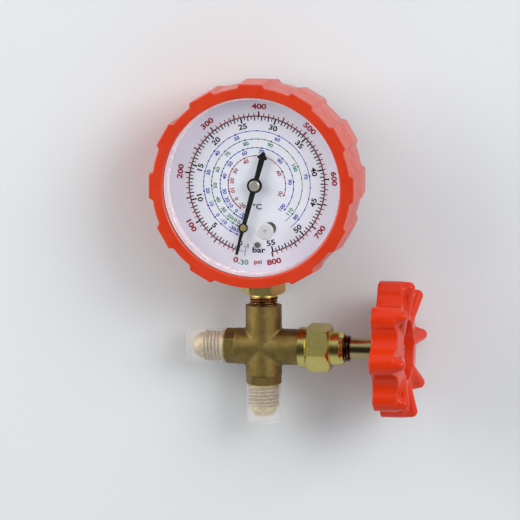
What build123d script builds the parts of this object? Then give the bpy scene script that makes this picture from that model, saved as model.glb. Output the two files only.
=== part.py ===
from build123d import *
import math
import os

# Refrigerant manifold gauge: a cross-shaped valve body with two flare ports, a handwheel
# valve and a dial gauge in a lobed rubber boot.  Millimetres.
# +X runs to the handwheel, -Y to the reader of the dial, +Z up.
# The origin is at the mouth of the bottom port.

# ---------------------------------------------------------------- fits
SLIP = 0.05             # radial clearance of a running fit
SEATED = 0.02           # radial clearance of pieces that are screwed or pressed together
CAP_SLIP = 0.06         # radial clearance of a plastic cap on its thread

# ---------------------------------------------------------------- manifold body
ARM_D = 13.2            # the four cast arms
ARM_BLEND = 0.9         # fillet where the arms cross
PORT_REACH = 25.3       # cross centre to the mouth of either flare port
PORT_BORE_R = 2.4
NOSE_R = 4.65           # flare seat nose
NOSE_LENGTH = 3.8
FLARE_CHAMFER = 2.0     # 45 degree flare seat
FLARE_THREAD_R = 5.556  # 7/16-20 UNF major radius
PORT_HEX_AF = 11.4
LEFT_THREAD_LENGTH = 7.5
BOTTOM_THREAD_LENGTH = 7.8
LEFT_HEX_LENGTH = 4.0
BOTTOM_HEX_LENGTH = 3.3
TOP_ARM_END = 15.3
RIGHT_ARM_END = 13.5
CHAMBER_R = 4.4         # valve chamber along X
SEAT_X = -3.2           # face of the valve seat
SEAT_RELIEF = 0.8       # the seat ring stands this high off the chamber floor
SEAT_RING_R = 3.2
BONNET_THREAD_R = 5.0
BONNET_THREAD_DEPTH = 5.4

# ---------------------------------------------------------------- gauge socket, 1/8 NPT
NPT_R = 5.15            # male thread radius at its upper end
NPT_TAPER = 1 / 32      # radius lost per millimetre of length
NPT_TOP = 18.2          # above the cross centre
NPT_LENGTH = 9.4
SOCKET_HEX_AF = 14.0
SOCKET_HEX_START = 19.4
SOCKET_BORE_R = 1.5
NECK_R = 5.3            # where the socket passes the case wall
RESTRICTOR_R = 2.0
RESTRICTOR_LENGTH = 3.0
RESTRICTOR_HOLE_R = 0.3

# ---------------------------------------------------------------- valve
BONNET_COLLAR_R = 7.45
BONNET_HEX_AF = 15.7
BONNET_HEX_TURN = -17.0 # how the nut happened to stop when tightened
BONNET_COLLAR_LENGTH = 2.6
BONNET_HEX_LENGTH = 9.0
BONNET_NOSE_R = 6.35
BONNET_NOSE_LENGTH = 3.4
BONNET_TIP_LENGTH = 1.5
BONNET_PILOT_LENGTH = 2.0
STEM_ROD_R = 3.05
STEM_THREAD_R = 4.9
STEM_SHANK_R = 3.9
VALVE_TRAVEL = 3.0      # three turns of the handwheel
STEM_THREAD_SHOWN = 2.3 # thread that stands out of the bonnet when the valve is open
STEM_THREAD_LENGTH = 12.0
O_RING_WIRE_R = 0.66
O_RING_PITCH = 2.6
PLUNGER_R = 3.5
PLUNGER_LENGTH = 4.9
PLUNGER_WALL = 0.8
SEAL_R = 2.9
SEAL_THICKNESS = 1.5
SEAL_PROUD = 0.5
BUTTON_R = 1.9          # stem button that carries the plunger
BUTTON_LENGTH = 1.8
BUTTON_NECK_R = 1.3

# ---------------------------------------------------------------- handwheel
WHEEL_BACK_X = 43.0
WHEEL_TIP_R = 25.4
WHEEL_LOBES = 8
WHEEL_LOBE_R = 4.5
WHEEL_VALLEY_R = 19.9
WHEEL_FIRST_LOBE = 6.0  # from -Y towards -Z
WHEEL_DEPTH = 13.3
WHEEL_SKIRT_DEPTH = 9.8 # depth of the rim in the valleys
WHEEL_WALL = 2.4
WHEEL_RIDGE_R = 2.1
WHEEL_RIDGE_INNER_R = 1.8
WHEEL_NOSE_INSET = 0.2  # the ridge ends this far inside the lobe tip
WHEEL_RIDGE_ROOT = 6.8  # depth at which the lobe begins to narrow to its ridge
RECESS_R = 11.0
RECESS_RIM_DEPTH = 10.5
RECESS_FLOOR_DEPTH = 5.9
HUB_R = 7.0
SQUARE_SIDE = 5.4
SCREW_R = 2.0           # M4
SCREW_LENGTH = 9.0
SCREW_HEAD_R = 3.1
SCREW_HEAD_HEIGHT = 2.0
WASHER_R = 4.4
WASHER_THICKNESS = 0.8

# ---------------------------------------------------------------- protective caps
CAP_WALL = 0.73
CAP_FLOOR = 1.2
CAP_END_GAP = 1.15       # between the flare nose and the cap's floor
CAP_LENGTH = 13.2
CAP_RIM = 0.4           # how far the end flange stands out
CAP_RIM_LENGTH = 1.2

# ---------------------------------------------------------------- gauge case, dial axes
# In these axes x is right, y up, and z is towards the reader; z = 0 is the socket's axis.
CASE_R = 33.8
SOCKET_REACH = 27.0     # cross centre to the underside of the gauge case
CASE_WALL = 1.2
CASE_BACK = -7.0
CASE_FLOOR = 1.2
CASE_FRONT = 21.0
DIAL_LEDGE = 1.3        # width of the ledge that carries the dial
DIAL_FACE = 14.3
DIAL_THICKNESS = 0.7
DIAL_EDGE_GAP = 0.2
GASKET_THICKNESS = 0.6
LENS_THICKNESS = 2.0
LENS_FLANGE = 0.8
LENS_STEP = 1.7         # the lens front stands this far inside the case wall
LENS_SKIRT_WALL = 0.7
LENS_CORNER = 1.1
LENS_DIAL_GAP = 0.1

# ---------------------------------------------------------------- protective boot
BOOT_FRONT = 24.0
BOOT_MIDDLE = 8.0
BOOT_BACK = -8.4
BOOT_GAP = 0.1
BOOT_FRONT_WALL = 2.6   # thickness outside the case
BOOT_MIDDLE_WALL = 3.0
BOOT_BACK_WALL = 1.2
BOOT_LENS_GAP = 0.3
BOOT_BACK_LIP = 6.8
BOOT_PITCH = 30.0
BOOT_LOBES = 11         # one place of the twelve is left free for the socket
BOOT_LOBE_ANGLE = 16.0
BOOT_LOBE_HEIGHT = 1.5
BOOT_LOBE_FLANK = 0.8   # how much narrower a lobe is at its top, each side
BOOT_SOCKET_GAP = 1.7   # round the socket's hexagon

# ---------------------------------------------------------------- bourdon tube and socket block
TUBE_TO_CASE = 9.8      # from the tube's middle line to the case's outside
TUBE_MIDDLE = -0.5
TUBE_WIDTH = 8.0
TUBE_THICKNESS = 3.0
TUBE_WALL = 0.4
TUBE_TIP_ANGLE = -22.0
TUBE_ROOT_INSET = 4.0
BLOCK_HALF_WIDTH = 7.0
BLOCK_ABOVE_TUBE = 4.5
BLOCK_FRONT = 4.6
CASE_SCREW_R = 1.5      # M3
CASE_SCREW_HEAD_R = 2.8
CASE_SCREW_HEAD_HEIGHT = 1.4
CASE_SCREW_LENGTH = 5.0
CASE_SCREW_X = 4.4
CASE_SCREW_RISE = 2.2   # above the block's lower end

# ---------------------------------------------------------------- gauge movement
MODULE = CASE_R / 135.2 # 0.25 on this size of gauge
PINION_TEETH = 12
SECTOR_RATIO = 10
TOOTH_SHARE = 0.4       # tooth thickness as a share of the pitch, for backlash
SECTOR_LOW = 49.5       # ends of the toothed arc, degrees, before the pointer moves
SECTOR_HIGH = 96.0
WINDOW_MARGIN = 7.0     # degrees between the sector's edges and its window
SECTOR_THICKNESS = 0.8
PLATE_THICKNESS = 0.9
PLATE_HALF_WIDTH = 6.8
PLATE_RISE = 1.4        # its lower end above the block's
PLATE_TOP = 7.5
PLATE_GAP = 4.6
PILLAR_R = 1.2
PILLAR_X = 4.6
PILLAR_TOP_Y = 4.6
PILLAR_FROM_END = 2.6
SMALL_SCREW_R = 0.6     # M1.2
SMALL_SCREW_HEAD_R = 1.1
SMALL_SCREW_HEAD = 0.7
UPPER_SCREW_RISE = 7.0
LOWER_SCREW_RISE = 1.4
UPPER_SCREW_X = -3.6
PIVOT_R = 0.5
PINION_ARBOR_R = 0.75
TAIL_MODULES = 28
TAIL_ANGLE = -60.0
LINK_THICKNESS = 0.5
LINK_EYE_R = 1.3
LINK_TIP_PLAY = 0.25    # the one pivot of the linkage that is left open
HAIRSPRING_TURNS = 4
HAIRSPRING_IN_R = 1.2
HAIRSPRING_PITCH = 0.6
HAIRSPRING_STRIP = 0.12
HAIRSPRING_HEIGHT = 0.5

# ---------------------------------------------------------------- pointer and dial fittings
POINTER_LEVEL = 16.3    # back face of the pointer
POINTER_THICKNESS = 0.4
POINTER_LONG = 26.2
POINTER_TAIL = 12.8
POINTER_ZERO = 164.5    # angle from straight up to the zero mark, counterclockwise
POINTER_HUB_R = 2.7
POINTER_CAP_R = 1.95
EYE_FROM_PIVOT = 16.0
EYE_R = 1.75
EYE_HOLE_R = 1.2
ADJUSTER_HEAD_R = 1.12
ZERO_SCREW_X = 5.2
ZERO_SCREW_Y = -15.6
ZERO_SCREW_HEAD_R = 1.9
ZERO_SCREW_SHANK_R = 0.9
DIAL_SCREW_X = 0.55
DIAL_SCREW_RISE = 7.2
DIAL_SCREW_HEAD_R = 1.1
DIAL_POST_R = 1.5
PLUG_HEAD_R = 3.1
PLUG_SHANK_R = 2.0
PLUG_HEAD = 0.8
PLUG_DIMPLE_R = 0.8

# ---------------------------------------------------------------- places worked out from these
LEFT_HEX_END = PORT_REACH - NOSE_LENGTH - LEFT_THREAD_LENGTH
LEFT_HEX_START = LEFT_HEX_END - LEFT_HEX_LENGTH
BOTTOM_HEX_END = PORT_REACH - NOSE_LENGTH - BOTTOM_THREAD_LENGTH
BOTTOM_HEX_START = BOTTOM_HEX_END - BOTTOM_HEX_LENGTH
GAUGE_RISE = CASE_R + SOCKET_REACH
CROSS_Z = PORT_REACH
GAUGE_Z = CROSS_Z + GAUGE_RISE
CROSS = Pos(0, 0, CROSS_Z)
RIGHT = CROSS * Rot(0, 90, 0)
LEFT = CROSS * Rot(0, -90, 0)
DOWN = CROSS * Rot(180, 0, 0)
GAUGE = Pos(0, 0, GAUGE_Z) * Rot(90, 0, 0)

ARM_R = ARM_D / 2
CHAMBER_FLOOR = SEAT_X - SEAT_RELIEF
NPT_BOTTOM = NPT_TOP - NPT_LENGTH
BONNET_BACK = RIGHT_ARM_END - BONNET_THREAD_DEPTH - BONNET_PILOT_LENGTH
BONNET_HEX_X = RIGHT_ARM_END + BONNET_COLLAR_LENGTH
BONNET_NOSE_X = BONNET_HEX_X + BONNET_HEX_LENGTH
BONNET_TIP_X = BONNET_NOSE_X + BONNET_NOSE_LENGTH
BONNET_END_X = BONNET_TIP_X + BONNET_TIP_LENGTH
STEM_THREAD_END = BONNET_END_X + STEM_THREAD_SHOWN
STEM_THREAD_START = STEM_THREAD_END - STEM_THREAD_LENGTH
FEMALE_THREAD_START = STEM_THREAD_START - VALVE_TRAVEL - 0.3
O_RING_INNER_R = STEM_ROD_R + SLIP - SEATED / 2 - 2 * O_RING_WIRE_R
SEAL_FACE = SEAT_X + VALVE_TRAVEL + 0.02
PLUNGER_START = SEAL_FACE + SEAL_PROUD
PLUNGER_END = PLUNGER_START + PLUNGER_LENGTH
CAP_INNER_R = FLARE_THREAD_R + CAP_SLIP
CAP_END = PORT_REACH + CAP_END_GAP + CAP_FLOOR

CASE_INNER_R = CASE_R - CASE_WALL
DIAL_R = CASE_INNER_R - DIAL_EDGE_GAP
DIAL_BACK = DIAL_FACE - DIAL_THICKNESS
FLOOR_FRONT = CASE_BACK + CASE_FLOOR
LENS_BACK = CASE_FRONT + GASKET_THICKNESS
LENS_FRONT = LENS_BACK + LENS_THICKNESS
LENS_PLUG_R = CASE_R - LENS_STEP
BOOT_FRONT_R = CASE_R + BOOT_FRONT_WALL
BOOT_MIDDLE_R = CASE_R + BOOT_MIDDLE_WALL
BOOT_BACK_R = CASE_R + BOOT_BACK_WALL
BOOT_OPENING_R = LENS_PLUG_R + BOOT_LENS_GAP
BOOT_BACK_OPENING_R = CASE_R - BOOT_BACK_LIP
BOOT_STEM_HOLE_R = SOCKET_HEX_AF / 2 + BOOT_SOCKET_GAP
BLOCK_BOTTOM = 0.1 - math.sqrt((CASE_INNER_R - DIAL_LEDGE) ** 2 - BLOCK_HALF_WIDTH ** 2)
TUBE_RADIUS = CASE_R - TUBE_TO_CASE
BLOCK_TOP = BLOCK_ABOVE_TUBE - TUBE_RADIUS
CASE_SCREW_Y = BLOCK_BOTTOM + CASE_SCREW_RISE
CASE_BOTTOM = -math.sqrt(CASE_R ** 2 - (SOCKET_HEX_AF / 2) ** 2) - SEATED

PINION_R = MODULE * PINION_TEETH / 2
SECTOR_R = PINION_R * SECTOR_RATIO
SECTOR_Y = -(PINION_R + SECTOR_R)
TAIL_LENGTH = TAIL_MODULES * MODULE
PLATE_BOTTOM = BLOCK_BOTTOM + PLATE_RISE
PILLAR_BOTTOM_Y = PLATE_BOTTOM + PILLAR_FROM_END
PLATE_SCREW_PLACES = (
    (UPPER_SCREW_X, PLATE_BOTTOM + UPPER_SCREW_RISE), (0.0, PLATE_BOTTOM + LOWER_SCREW_RISE))
DIAL_SCREW_Y = PLATE_BOTTOM + DIAL_SCREW_RISE
BACK_PLATE = BLOCK_FRONT
BACK_PLATE_FRONT = BACK_PLATE + PLATE_THICKNESS
FRONT_PLATE = BACK_PLATE_FRONT + PLATE_GAP
FRONT_PLATE_FRONT = FRONT_PLATE + PLATE_THICKNESS
SECTOR_BACK = BACK_PLATE_FRONT + SMALL_SCREW_HEAD + 0.4
SECTOR_FRONT = SECTOR_BACK + SECTOR_THICKNESS
LINK_BACK = SECTOR_FRONT + 0.05
LINK_FRONT = LINK_BACK + LINK_THICKNESS
TAIL_X = TAIL_LENGTH * math.cos(math.radians(TAIL_ANGLE))
TAIL_Y = SECTOR_Y + TAIL_LENGTH * math.sin(math.radians(TAIL_ANGLE))
TIP_X = TUBE_RADIUS * math.cos(math.radians(TUBE_TIP_ANGLE))
TIP_Y = TUBE_RADIUS * math.sin(math.radians(TUBE_TIP_ANGLE))
POINTER_TURN = Rot(0, 0, POINTER_ZERO)


# ---------------------------------------------------------------- shared shapes
def turned(*outline):
    """Solid turned about Z from (height, radius) corners."""
    corners = [(radius, height) for height, radius in outline]
    face = Plane.XZ * make_face(Polyline(*corners, close=True))
    return revolve(face, Axis.Z)


def rod(radius, start, end):
    """Cylinder on Z between two heights."""
    return Pos(0, 0, start) * Cylinder(radius, end - start, align=(Align.CENTER, Align.CENTER, Align.MIN))


def tube(outer, inner, start, end):
    return turned((start, inner), (start, outer), (end, outer), (end, inner))


def hex_bar(across_flats, start, end, chamfer_start=0.0, chamfer_end=0.0):
    """Hexagon bar on Z with its corners turned off at either end; one corner lies on +X."""
    corner_r = across_flats / math.sqrt(3)
    bar = Pos(0, 0, start) * extrude(RegularPolygon(corner_r, 6), end - start)
    blunt = corner_r - across_flats / 2
    envelope = turned(
        (start, 0), (start, corner_r - chamfer_start * blunt), (start + chamfer_start, corner_r + 0.01),
        (end - chamfer_end, corner_r + 0.01), (end, corner_r - chamfer_end * blunt), (end, 0))
    return bar & envelope


def box_between(x_range, y_range, z_range):
    low = (x_range[0], y_range[0], z_range[0])
    size = (x_range[1] - low[0], y_range[1] - low[1], z_range[1] - low[2])
    return Pos(*low) * Box(*size, align=(Align.MIN, Align.MIN, Align.MIN))


def polar(radius, degrees):
    return radius * math.cos(math.radians(degrees)), radius * math.sin(math.radians(degrees))


def screw(place_x, place_y, head_back, thread_r, length, head_r, head, slot=0.3):
    """Slotted cheese-head screw whose head rests at head_back and whose thread runs down from it."""
    body = rod(thread_r, head_back - length, head_back) + rod(head_r, head_back, head_back + head)
    groove = Pos(0, 0, head_back + head - slot / 2) * Box(2.5 * head_r, 0.28 * head_r, slot)
    return Pos(place_x, place_y, 0) * (body - groove)


def write(shape, node):
    export_step(shape, f"parts/{node}.step")


# ---------------------------------------------------------------- manifold body
def flare_port(hex_start, hex_end, across_flats):
    """Outside of one flare port, running up Z from the cross centre."""
    nose_start = PORT_REACH - NOSE_LENGTH
    spigot = turned(
        (0, 0), (0, ARM_R), (hex_start, ARM_R), (hex_start, FLARE_THREAD_R),
        (nose_start, FLARE_THREAD_R), (nose_start, NOSE_R), (PORT_REACH - FLARE_CHAMFER, NOSE_R),
        (PORT_REACH, NOSE_R - FLARE_CHAMFER + 0.6), (PORT_REACH, 0))
    return spigot + hex_bar(across_flats, hex_start - 0.1, hex_end, 0.0, 0.6)


def manifold_body():
    stub = -(ARM_R + 2 * ARM_BLEND)
    bars = rod(ARM_R, stub, TOP_ARM_END) + Rot(0, 90, 0) * rod(ARM_R, stub, RIGHT_ARM_END)
    crossing = [edge for edge in bars.edges() if edge.geom_type not in (GeomType.CIRCLE, GeomType.LINE)]
    body = CROSS * fillet(crossing, ARM_BLEND)
    body += LEFT * flare_port(LEFT_HEX_START, LEFT_HEX_END, PORT_HEX_AF)
    body += DOWN * flare_port(BOTTOM_HEX_START, BOTTOM_HEX_END, PORT_HEX_AF)
    thread_end = NPT_BOTTOM - 0.6
    socket_r = NPT_R + SEATED
    body -= CROSS * turned(
        (thread_end, 0), (thread_end, socket_r - (NPT_TOP - thread_end) * NPT_TAPER),
        (TOP_ARM_END, socket_r - (NPT_TOP - TOP_ARM_END) * NPT_TAPER), (TOP_ARM_END, 0))
    body -= CROSS * rod(PORT_BORE_R, -PORT_REACH - 1, thread_end + 1)
    body -= RIGHT * rod(PORT_BORE_R, -PORT_REACH - 1, 0)
    pilot_end = RIGHT_ARM_END - BONNET_THREAD_DEPTH
    body -= RIGHT * turned(
        (CHAMBER_FLOOR, 0), (CHAMBER_FLOOR, CHAMBER_R), (pilot_end, CHAMBER_R),
        (pilot_end, BONNET_THREAD_R), (RIGHT_ARM_END, BONNET_THREAD_R), (RIGHT_ARM_END, 0))
    seat = turned(
        (CHAMBER_FLOOR, PORT_BORE_R), (CHAMBER_FLOOR, SEAT_RING_R + 0.4), (SEAT_X, SEAT_RING_R),
        (SEAT_X, PORT_BORE_R))
    return body + RIGHT * seat


# ---------------------------------------------------------------- valve
def valve_bonnet():
    thread_r = BONNET_THREAD_R - SEATED
    pilot_end = RIGHT_ARM_END - BONNET_THREAD_DEPTH
    outside = turned(
        (BONNET_BACK, 0), (BONNET_BACK, CHAMBER_R - SEATED), (pilot_end, CHAMBER_R - SEATED),
        (pilot_end, thread_r), (RIGHT_ARM_END, thread_r), (RIGHT_ARM_END, BONNET_COLLAR_R),
        (BONNET_HEX_X, BONNET_COLLAR_R), (BONNET_NOSE_X, BONNET_COLLAR_R), (BONNET_NOSE_X, BONNET_NOSE_R),
        (BONNET_TIP_X, BONNET_NOSE_R), (BONNET_END_X, STEM_THREAD_R + 0.5), (BONNET_END_X, 0))
    nut = Rot(0, 0, BONNET_HEX_TURN) * hex_bar(BONNET_HEX_AF, BONNET_HEX_X, BONNET_NOSE_X, 1.4, 1.1)
    bonnet = outside + nut
    bonnet -= rod(STEM_ROD_R + SLIP, BONNET_BACK - 1, FEMALE_THREAD_START + 1)
    bonnet -= rod(STEM_THREAD_R + SLIP, FEMALE_THREAD_START, BONNET_END_X + 1)
    return RIGHT * bonnet


def o_ring_places():
    """Heights of the stem's two O-rings while the valve is open."""
    last = FEMALE_THREAD_START - O_RING_WIRE_R - 0.7
    return last - O_RING_PITCH, last


def valve_stem():
    button_start = PLUNGER_END - PLUNGER_WALL - BUTTON_LENGTH - 2 * SLIP
    rod_start = PLUNGER_END + 2 * SLIP
    button_end = button_start + BUTTON_LENGTH
    stem = turned(
        (button_start, 0), (button_start, BUTTON_R), (button_end, BUTTON_R),
        (button_end, BUTTON_NECK_R), (rod_start, BUTTON_NECK_R), (rod_start, STEM_ROD_R - 0.3),
        (rod_start + 0.3, STEM_ROD_R), (STEM_THREAD_START, STEM_ROD_R),
        (STEM_THREAD_START + 0.6, STEM_THREAD_R), (STEM_THREAD_END - 0.5, STEM_THREAD_R),
        (STEM_THREAD_END, STEM_SHANK_R), (WHEEL_BACK_X, STEM_SHANK_R), (WHEEL_BACK_X, 0))
    floor_x = WHEEL_BACK_X + RECESS_FLOOR_DEPTH
    tang = Pos(0, 0, WHEEL_BACK_X) * extrude(Rectangle(SQUARE_SIDE, SQUARE_SIDE), RECESS_FLOOR_DEPTH - 0.4)
    stem += tang & rod(SQUARE_SIDE * 0.66, WHEEL_BACK_X, floor_x)
    stem -= rod(SCREW_R + SEATED, floor_x - SCREW_LENGTH - 0.5, floor_x + 1)
    half_groove = O_RING_WIRE_R + 0.1
    for middle in o_ring_places():
        stem -= tube(
            STEM_ROD_R + 1, O_RING_INNER_R - SEATED / 2, middle - half_groove, middle + half_groove)
    return RIGHT * stem


def stem_o_rings():
    middle_r = O_RING_INNER_R + O_RING_WIRE_R
    rings = [Pos(0, 0, middle) * Torus(middle_r, O_RING_WIRE_R) for middle in o_ring_places()]
    return RIGHT * Compound(rings)


def seat_plunger():
    cavity_end = PLUNGER_END - PLUNGER_WALL
    cavity_start = cavity_end - BUTTON_LENGTH - 4 * SLIP
    plunger = turned(
        (PLUNGER_START, 0), (PLUNGER_START, PLUNGER_R - 0.3), (PLUNGER_START + 0.3, PLUNGER_R),
        (PLUNGER_END - 0.3, PLUNGER_R), (PLUNGER_END, PLUNGER_R - 0.3), (PLUNGER_END, 0))
    plunger -= rod(SEAL_R + SEATED, PLUNGER_START - 1, SEAL_FACE + SEAL_THICKNESS)
    plunger -= rod(BUTTON_R + SLIP, cavity_start, cavity_end)
    plunger -= rod(BUTTON_NECK_R + SLIP, cavity_end - 0.1, PLUNGER_END + 1)
    return RIGHT * plunger


def seat_seal():
    return RIGHT * rod(SEAL_R, SEAL_FACE, SEAL_FACE + SEAL_THICKNESS)


# ---------------------------------------------------------------- handwheel
def wheel_outline(tip_r, lobe_r, valley_r):
    """Star outline: round lobes joined by hollow arcs that are tangent to them."""
    centre_r = tip_r - lobe_r
    half = math.radians(180 / WHEEL_LOBES)
    across = centre_r * math.cos(half)
    hollow_r = (lobe_r ** 2 - centre_r ** 2 - valley_r ** 2 + 2 * valley_r * across) / (
        2 * valley_r - 2 * across - 2 * lobe_r)
    hollow_c = valley_r + hollow_r
    share = lobe_r / (lobe_r + hollow_r)
    join_x = centre_r + share * (hollow_c * math.cos(half) - centre_r)
    join_y = share * hollow_c * math.sin(half)
    outline = []
    for lobe in range(WHEEL_LOBES):
        turn = Rot(0, 0, lobe * 360 / WHEEL_LOBES)
        outline.append(turn * ThreePointArc((join_x, -join_y), (tip_r, 0), (join_x, join_y)))
        valley = polar(valley_r, 180 / WHEEL_LOBES)
        mirrored = Vector(join_x, -join_y).rotate(Axis.Z, 360 / WHEEL_LOBES)
        outline.append(turn * ThreePointArc((join_x, join_y), valley, (mirrored.X, mirrored.Y)))
    return make_face(outline)


def wheel_ridge():
    """One rounded ridge on the front face, from the recess rim out to a lobe's tip."""
    outer = Vector(WHEEL_TIP_R - WHEEL_NOSE_INSET - WHEEL_RIDGE_R, 0, WHEEL_DEPTH - WHEEL_RIDGE_R)
    inner = Vector(RECESS_R - 1, 0, RECESS_RIM_DEPTH - WHEEL_RIDGE_INNER_R)
    reach = outer - inner
    lean = math.degrees(math.atan2(reach.X, reach.Z))
    bar = Pos(*inner) * Rot(0, lean, 0) * turned(
        (0, 0), (0, WHEEL_RIDGE_INNER_R), (reach.length, WHEEL_RIDGE_R), (reach.length, 0))
    lobe = Pos(WHEEL_TIP_R - WHEEL_LOBE_R, 0, WHEEL_RIDGE_ROOT) * Circle(WHEEL_LOBE_R)
    nose = Pos(*outer) * Circle(WHEEL_RIDGE_R)
    shoulder = loft([lobe, nose], ruled=True)
    return bar + shoulder + Pos(*outer) * Sphere(WHEEL_RIDGE_R)


def handwheel():
    outline = wheel_outline(WHEEL_TIP_R, WHEEL_LOBE_R, WHEEL_VALLEY_R)
    star = extrude(outline, WHEEL_DEPTH)
    dish = turned(
        (0, 0), (0, WHEEL_TIP_R - 0.6), (0.6, WHEEL_TIP_R + 0.1),
        (WHEEL_SKIRT_DEPTH - 1.2, WHEEL_TIP_R + 0.1), (WHEEL_SKIRT_DEPTH, WHEEL_VALLEY_R - 0.6),
        (RECESS_RIM_DEPTH, RECESS_R + 0.9),
        (RECESS_RIM_DEPTH, 0))
    ridges = [Rot(0, 0, lobe * 360 / WHEEL_LOBES) * wheel_ridge() for lobe in range(WHEEL_LOBES)]
    wheel = star & dish
    for ridge in ridges:
        wheel += ridge
    wheel -= turned(
        (RECESS_FLOOR_DEPTH, 0), (RECESS_FLOOR_DEPTH, RECESS_R - 0.8), (RECESS_RIM_DEPTH, RECESS_R),
        (WHEEL_DEPTH + 1, RECESS_R), (WHEEL_DEPTH + 1, 0))
    hollow_outline = wheel_outline(
        WHEEL_TIP_R - WHEEL_WALL, WHEEL_LOBE_R - 1.6, WHEEL_VALLEY_R - WHEEL_WALL)
    hollow = extrude(hollow_outline, WHEEL_DEPTH)
    roof = turned(
        (-1, HUB_R), (-1, WHEEL_TIP_R), (WHEEL_SKIRT_DEPTH - 2.6, WHEEL_TIP_R),
        (RECESS_FLOOR_DEPTH - 2.0, RECESS_R), (RECESS_FLOOR_DEPTH - 2.2, HUB_R))
    wheel -= hollow & roof
    wheel = Rot(0, 0, WHEEL_FIRST_LOBE - 90) * wheel
    wheel -= Pos(0, 0, -1) * extrude(Rectangle(SQUARE_SIDE + 2 * SLIP, SQUARE_SIDE + 2 * SLIP), WHEEL_DEPTH)
    return RIGHT * Pos(0, 0, WHEEL_BACK_X) * wheel


def handwheel_washer():
    floor_x = WHEEL_BACK_X + RECESS_FLOOR_DEPTH
    return RIGHT * tube(WASHER_R, SCREW_R + 0.15, floor_x, floor_x + WASHER_THICKNESS)


def handwheel_screw():
    seat = WHEEL_BACK_X + RECESS_FLOOR_DEPTH + WASHER_THICKNESS
    head = turned(
        (seat, 0), (seat, SCREW_HEAD_R), (seat + 1.1, SCREW_HEAD_R), (seat + 1.7, SCREW_HEAD_R - 0.7),
        (seat + SCREW_HEAD_HEIGHT, SCREW_HEAD_R - 1.6), (seat + SCREW_HEAD_HEIGHT, 0))
    cross = Box(3.4, 0.7, 2.2) + Box(0.7, 3.4, 2.2)
    head -= Pos(0, 0, seat + SCREW_HEAD_HEIGHT) * cross
    return RIGHT * (head + rod(SCREW_R, seat - SCREW_LENGTH, seat))


# ---------------------------------------------------------------- port caps
def port_cap():
    """Soft plastic cap, running up Z; its closed end is at CAP_END."""
    cap = rod(CAP_INNER_R + CAP_WALL, CAP_END - CAP_LENGTH, CAP_END)
    cap += turned(
        (CAP_END - CAP_RIM_LENGTH, 0), (CAP_END - CAP_RIM_LENGTH, CAP_INNER_R + CAP_WALL + CAP_RIM),
        (CAP_END - 0.3, CAP_INNER_R + CAP_WALL + CAP_RIM), (CAP_END, CAP_INNER_R + CAP_WALL), (CAP_END, 0))
    return cap - rod(CAP_INNER_R, CAP_END - CAP_LENGTH - 1, CAP_END - CAP_FLOOR)


# ---------------------------------------------------------------- gauge socket
def bourdon_section(width, thickness):
    slot = Rot(0, 0, 90) * SlotOverall(width, thickness)
    return Plane.XZ * Pos(TUBE_RADIUS, TUBE_MIDDLE) * slot


def tube_sweep():
    root_angle = 270 - math.degrees(math.asin(TUBE_ROOT_INSET / TUBE_RADIUS))
    return root_angle - TUBE_TIP_ANGLE


def bourdon_tube():
    wall = bourdon_section(TUBE_WIDTH, TUBE_THICKNESS)
    wall -= bourdon_section(TUBE_WIDTH - 2 * TUBE_WALL, TUBE_THICKNESS - 2 * TUBE_WALL)
    return Rot(0, 0, TUBE_TIP_ANGLE) * revolve(wall, Axis.Z, revolution_arc=tube_sweep())


def tube_pocket():
    """Space that the tube's root takes in the socket block."""
    outside = bourdon_section(TUBE_WIDTH + 2 * SEATED, TUBE_THICKNESS + 2 * SEATED)
    return Rot(0, 0, TUBE_TIP_ANGLE) * revolve(outside, Axis.Z, revolution_arc=tube_sweep())


def gauge_socket():
    """Socket in the dial's axes: block inside the case, hexagon and tapered thread below it."""
    below = GAUGE_RISE
    nipple = Rot(-90, 0, 0) * turned(
        (NPT_BOTTOM - below, 0), (NPT_BOTTOM - below, NPT_R - NPT_LENGTH * NPT_TAPER),
        (NPT_TOP - below, NPT_R), (NPT_TOP - below + 0.3, NPT_R - 0.2),
        (SOCKET_HEX_START - below, NPT_R - 0.2),
        (CASE_BOTTOM - 0.5, NPT_R), (CASE_BOTTOM - 0.5, NECK_R), (BLOCK_BOTTOM + 0.2, NECK_R),
        (BLOCK_BOTTOM + 0.2, 0))
    nut = Rot(-90, 0, 0) * hex_bar(SOCKET_HEX_AF, SOCKET_HEX_START - below, CASE_BOTTOM, 1.0, 0.0)
    block = box_between(
        (-BLOCK_HALF_WIDTH, BLOCK_HALF_WIDTH), (BLOCK_BOTTOM, BLOCK_TOP), (FLOOR_FRONT, BLOCK_FRONT))
    block = chamfer(block.edges().filter_by(Axis.Z), 0.8)
    socket = nipple + nut + block - tube_pocket()
    tube_y = -TUBE_RADIUS
    socket -= Rot(-90, 0, 0) * rod(SOCKET_BORE_R, NPT_BOTTOM - below - 1, tube_y)
    socket -= Rot(-90, 0, 0) * rod(
        RESTRICTOR_R + SEATED, NPT_BOTTOM - below - 1, NPT_BOTTOM - below + RESTRICTOR_LENGTH)
    socket -= Pos(0, tube_y, TUBE_MIDDLE) * Rot(0, -90, 0) * rod(SOCKET_BORE_R - 0.4, -1.5, TUBE_ROOT_INSET)
    for side in (-1, 1):
        socket -= Pos(side * CASE_SCREW_X, CASE_SCREW_Y, 0) * rod(
            CASE_SCREW_R + SEATED, CASE_BACK - 1, CASE_BACK + CASE_SCREW_LENGTH + 0.4)
    for place_x, place_y in PLATE_SCREW_PLACES:
        socket -= Pos(place_x, place_y, 0) * rod(SMALL_SCREW_R + SEATED, BLOCK_FRONT - 2.2, BLOCK_FRONT + 1)
    return socket


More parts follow.
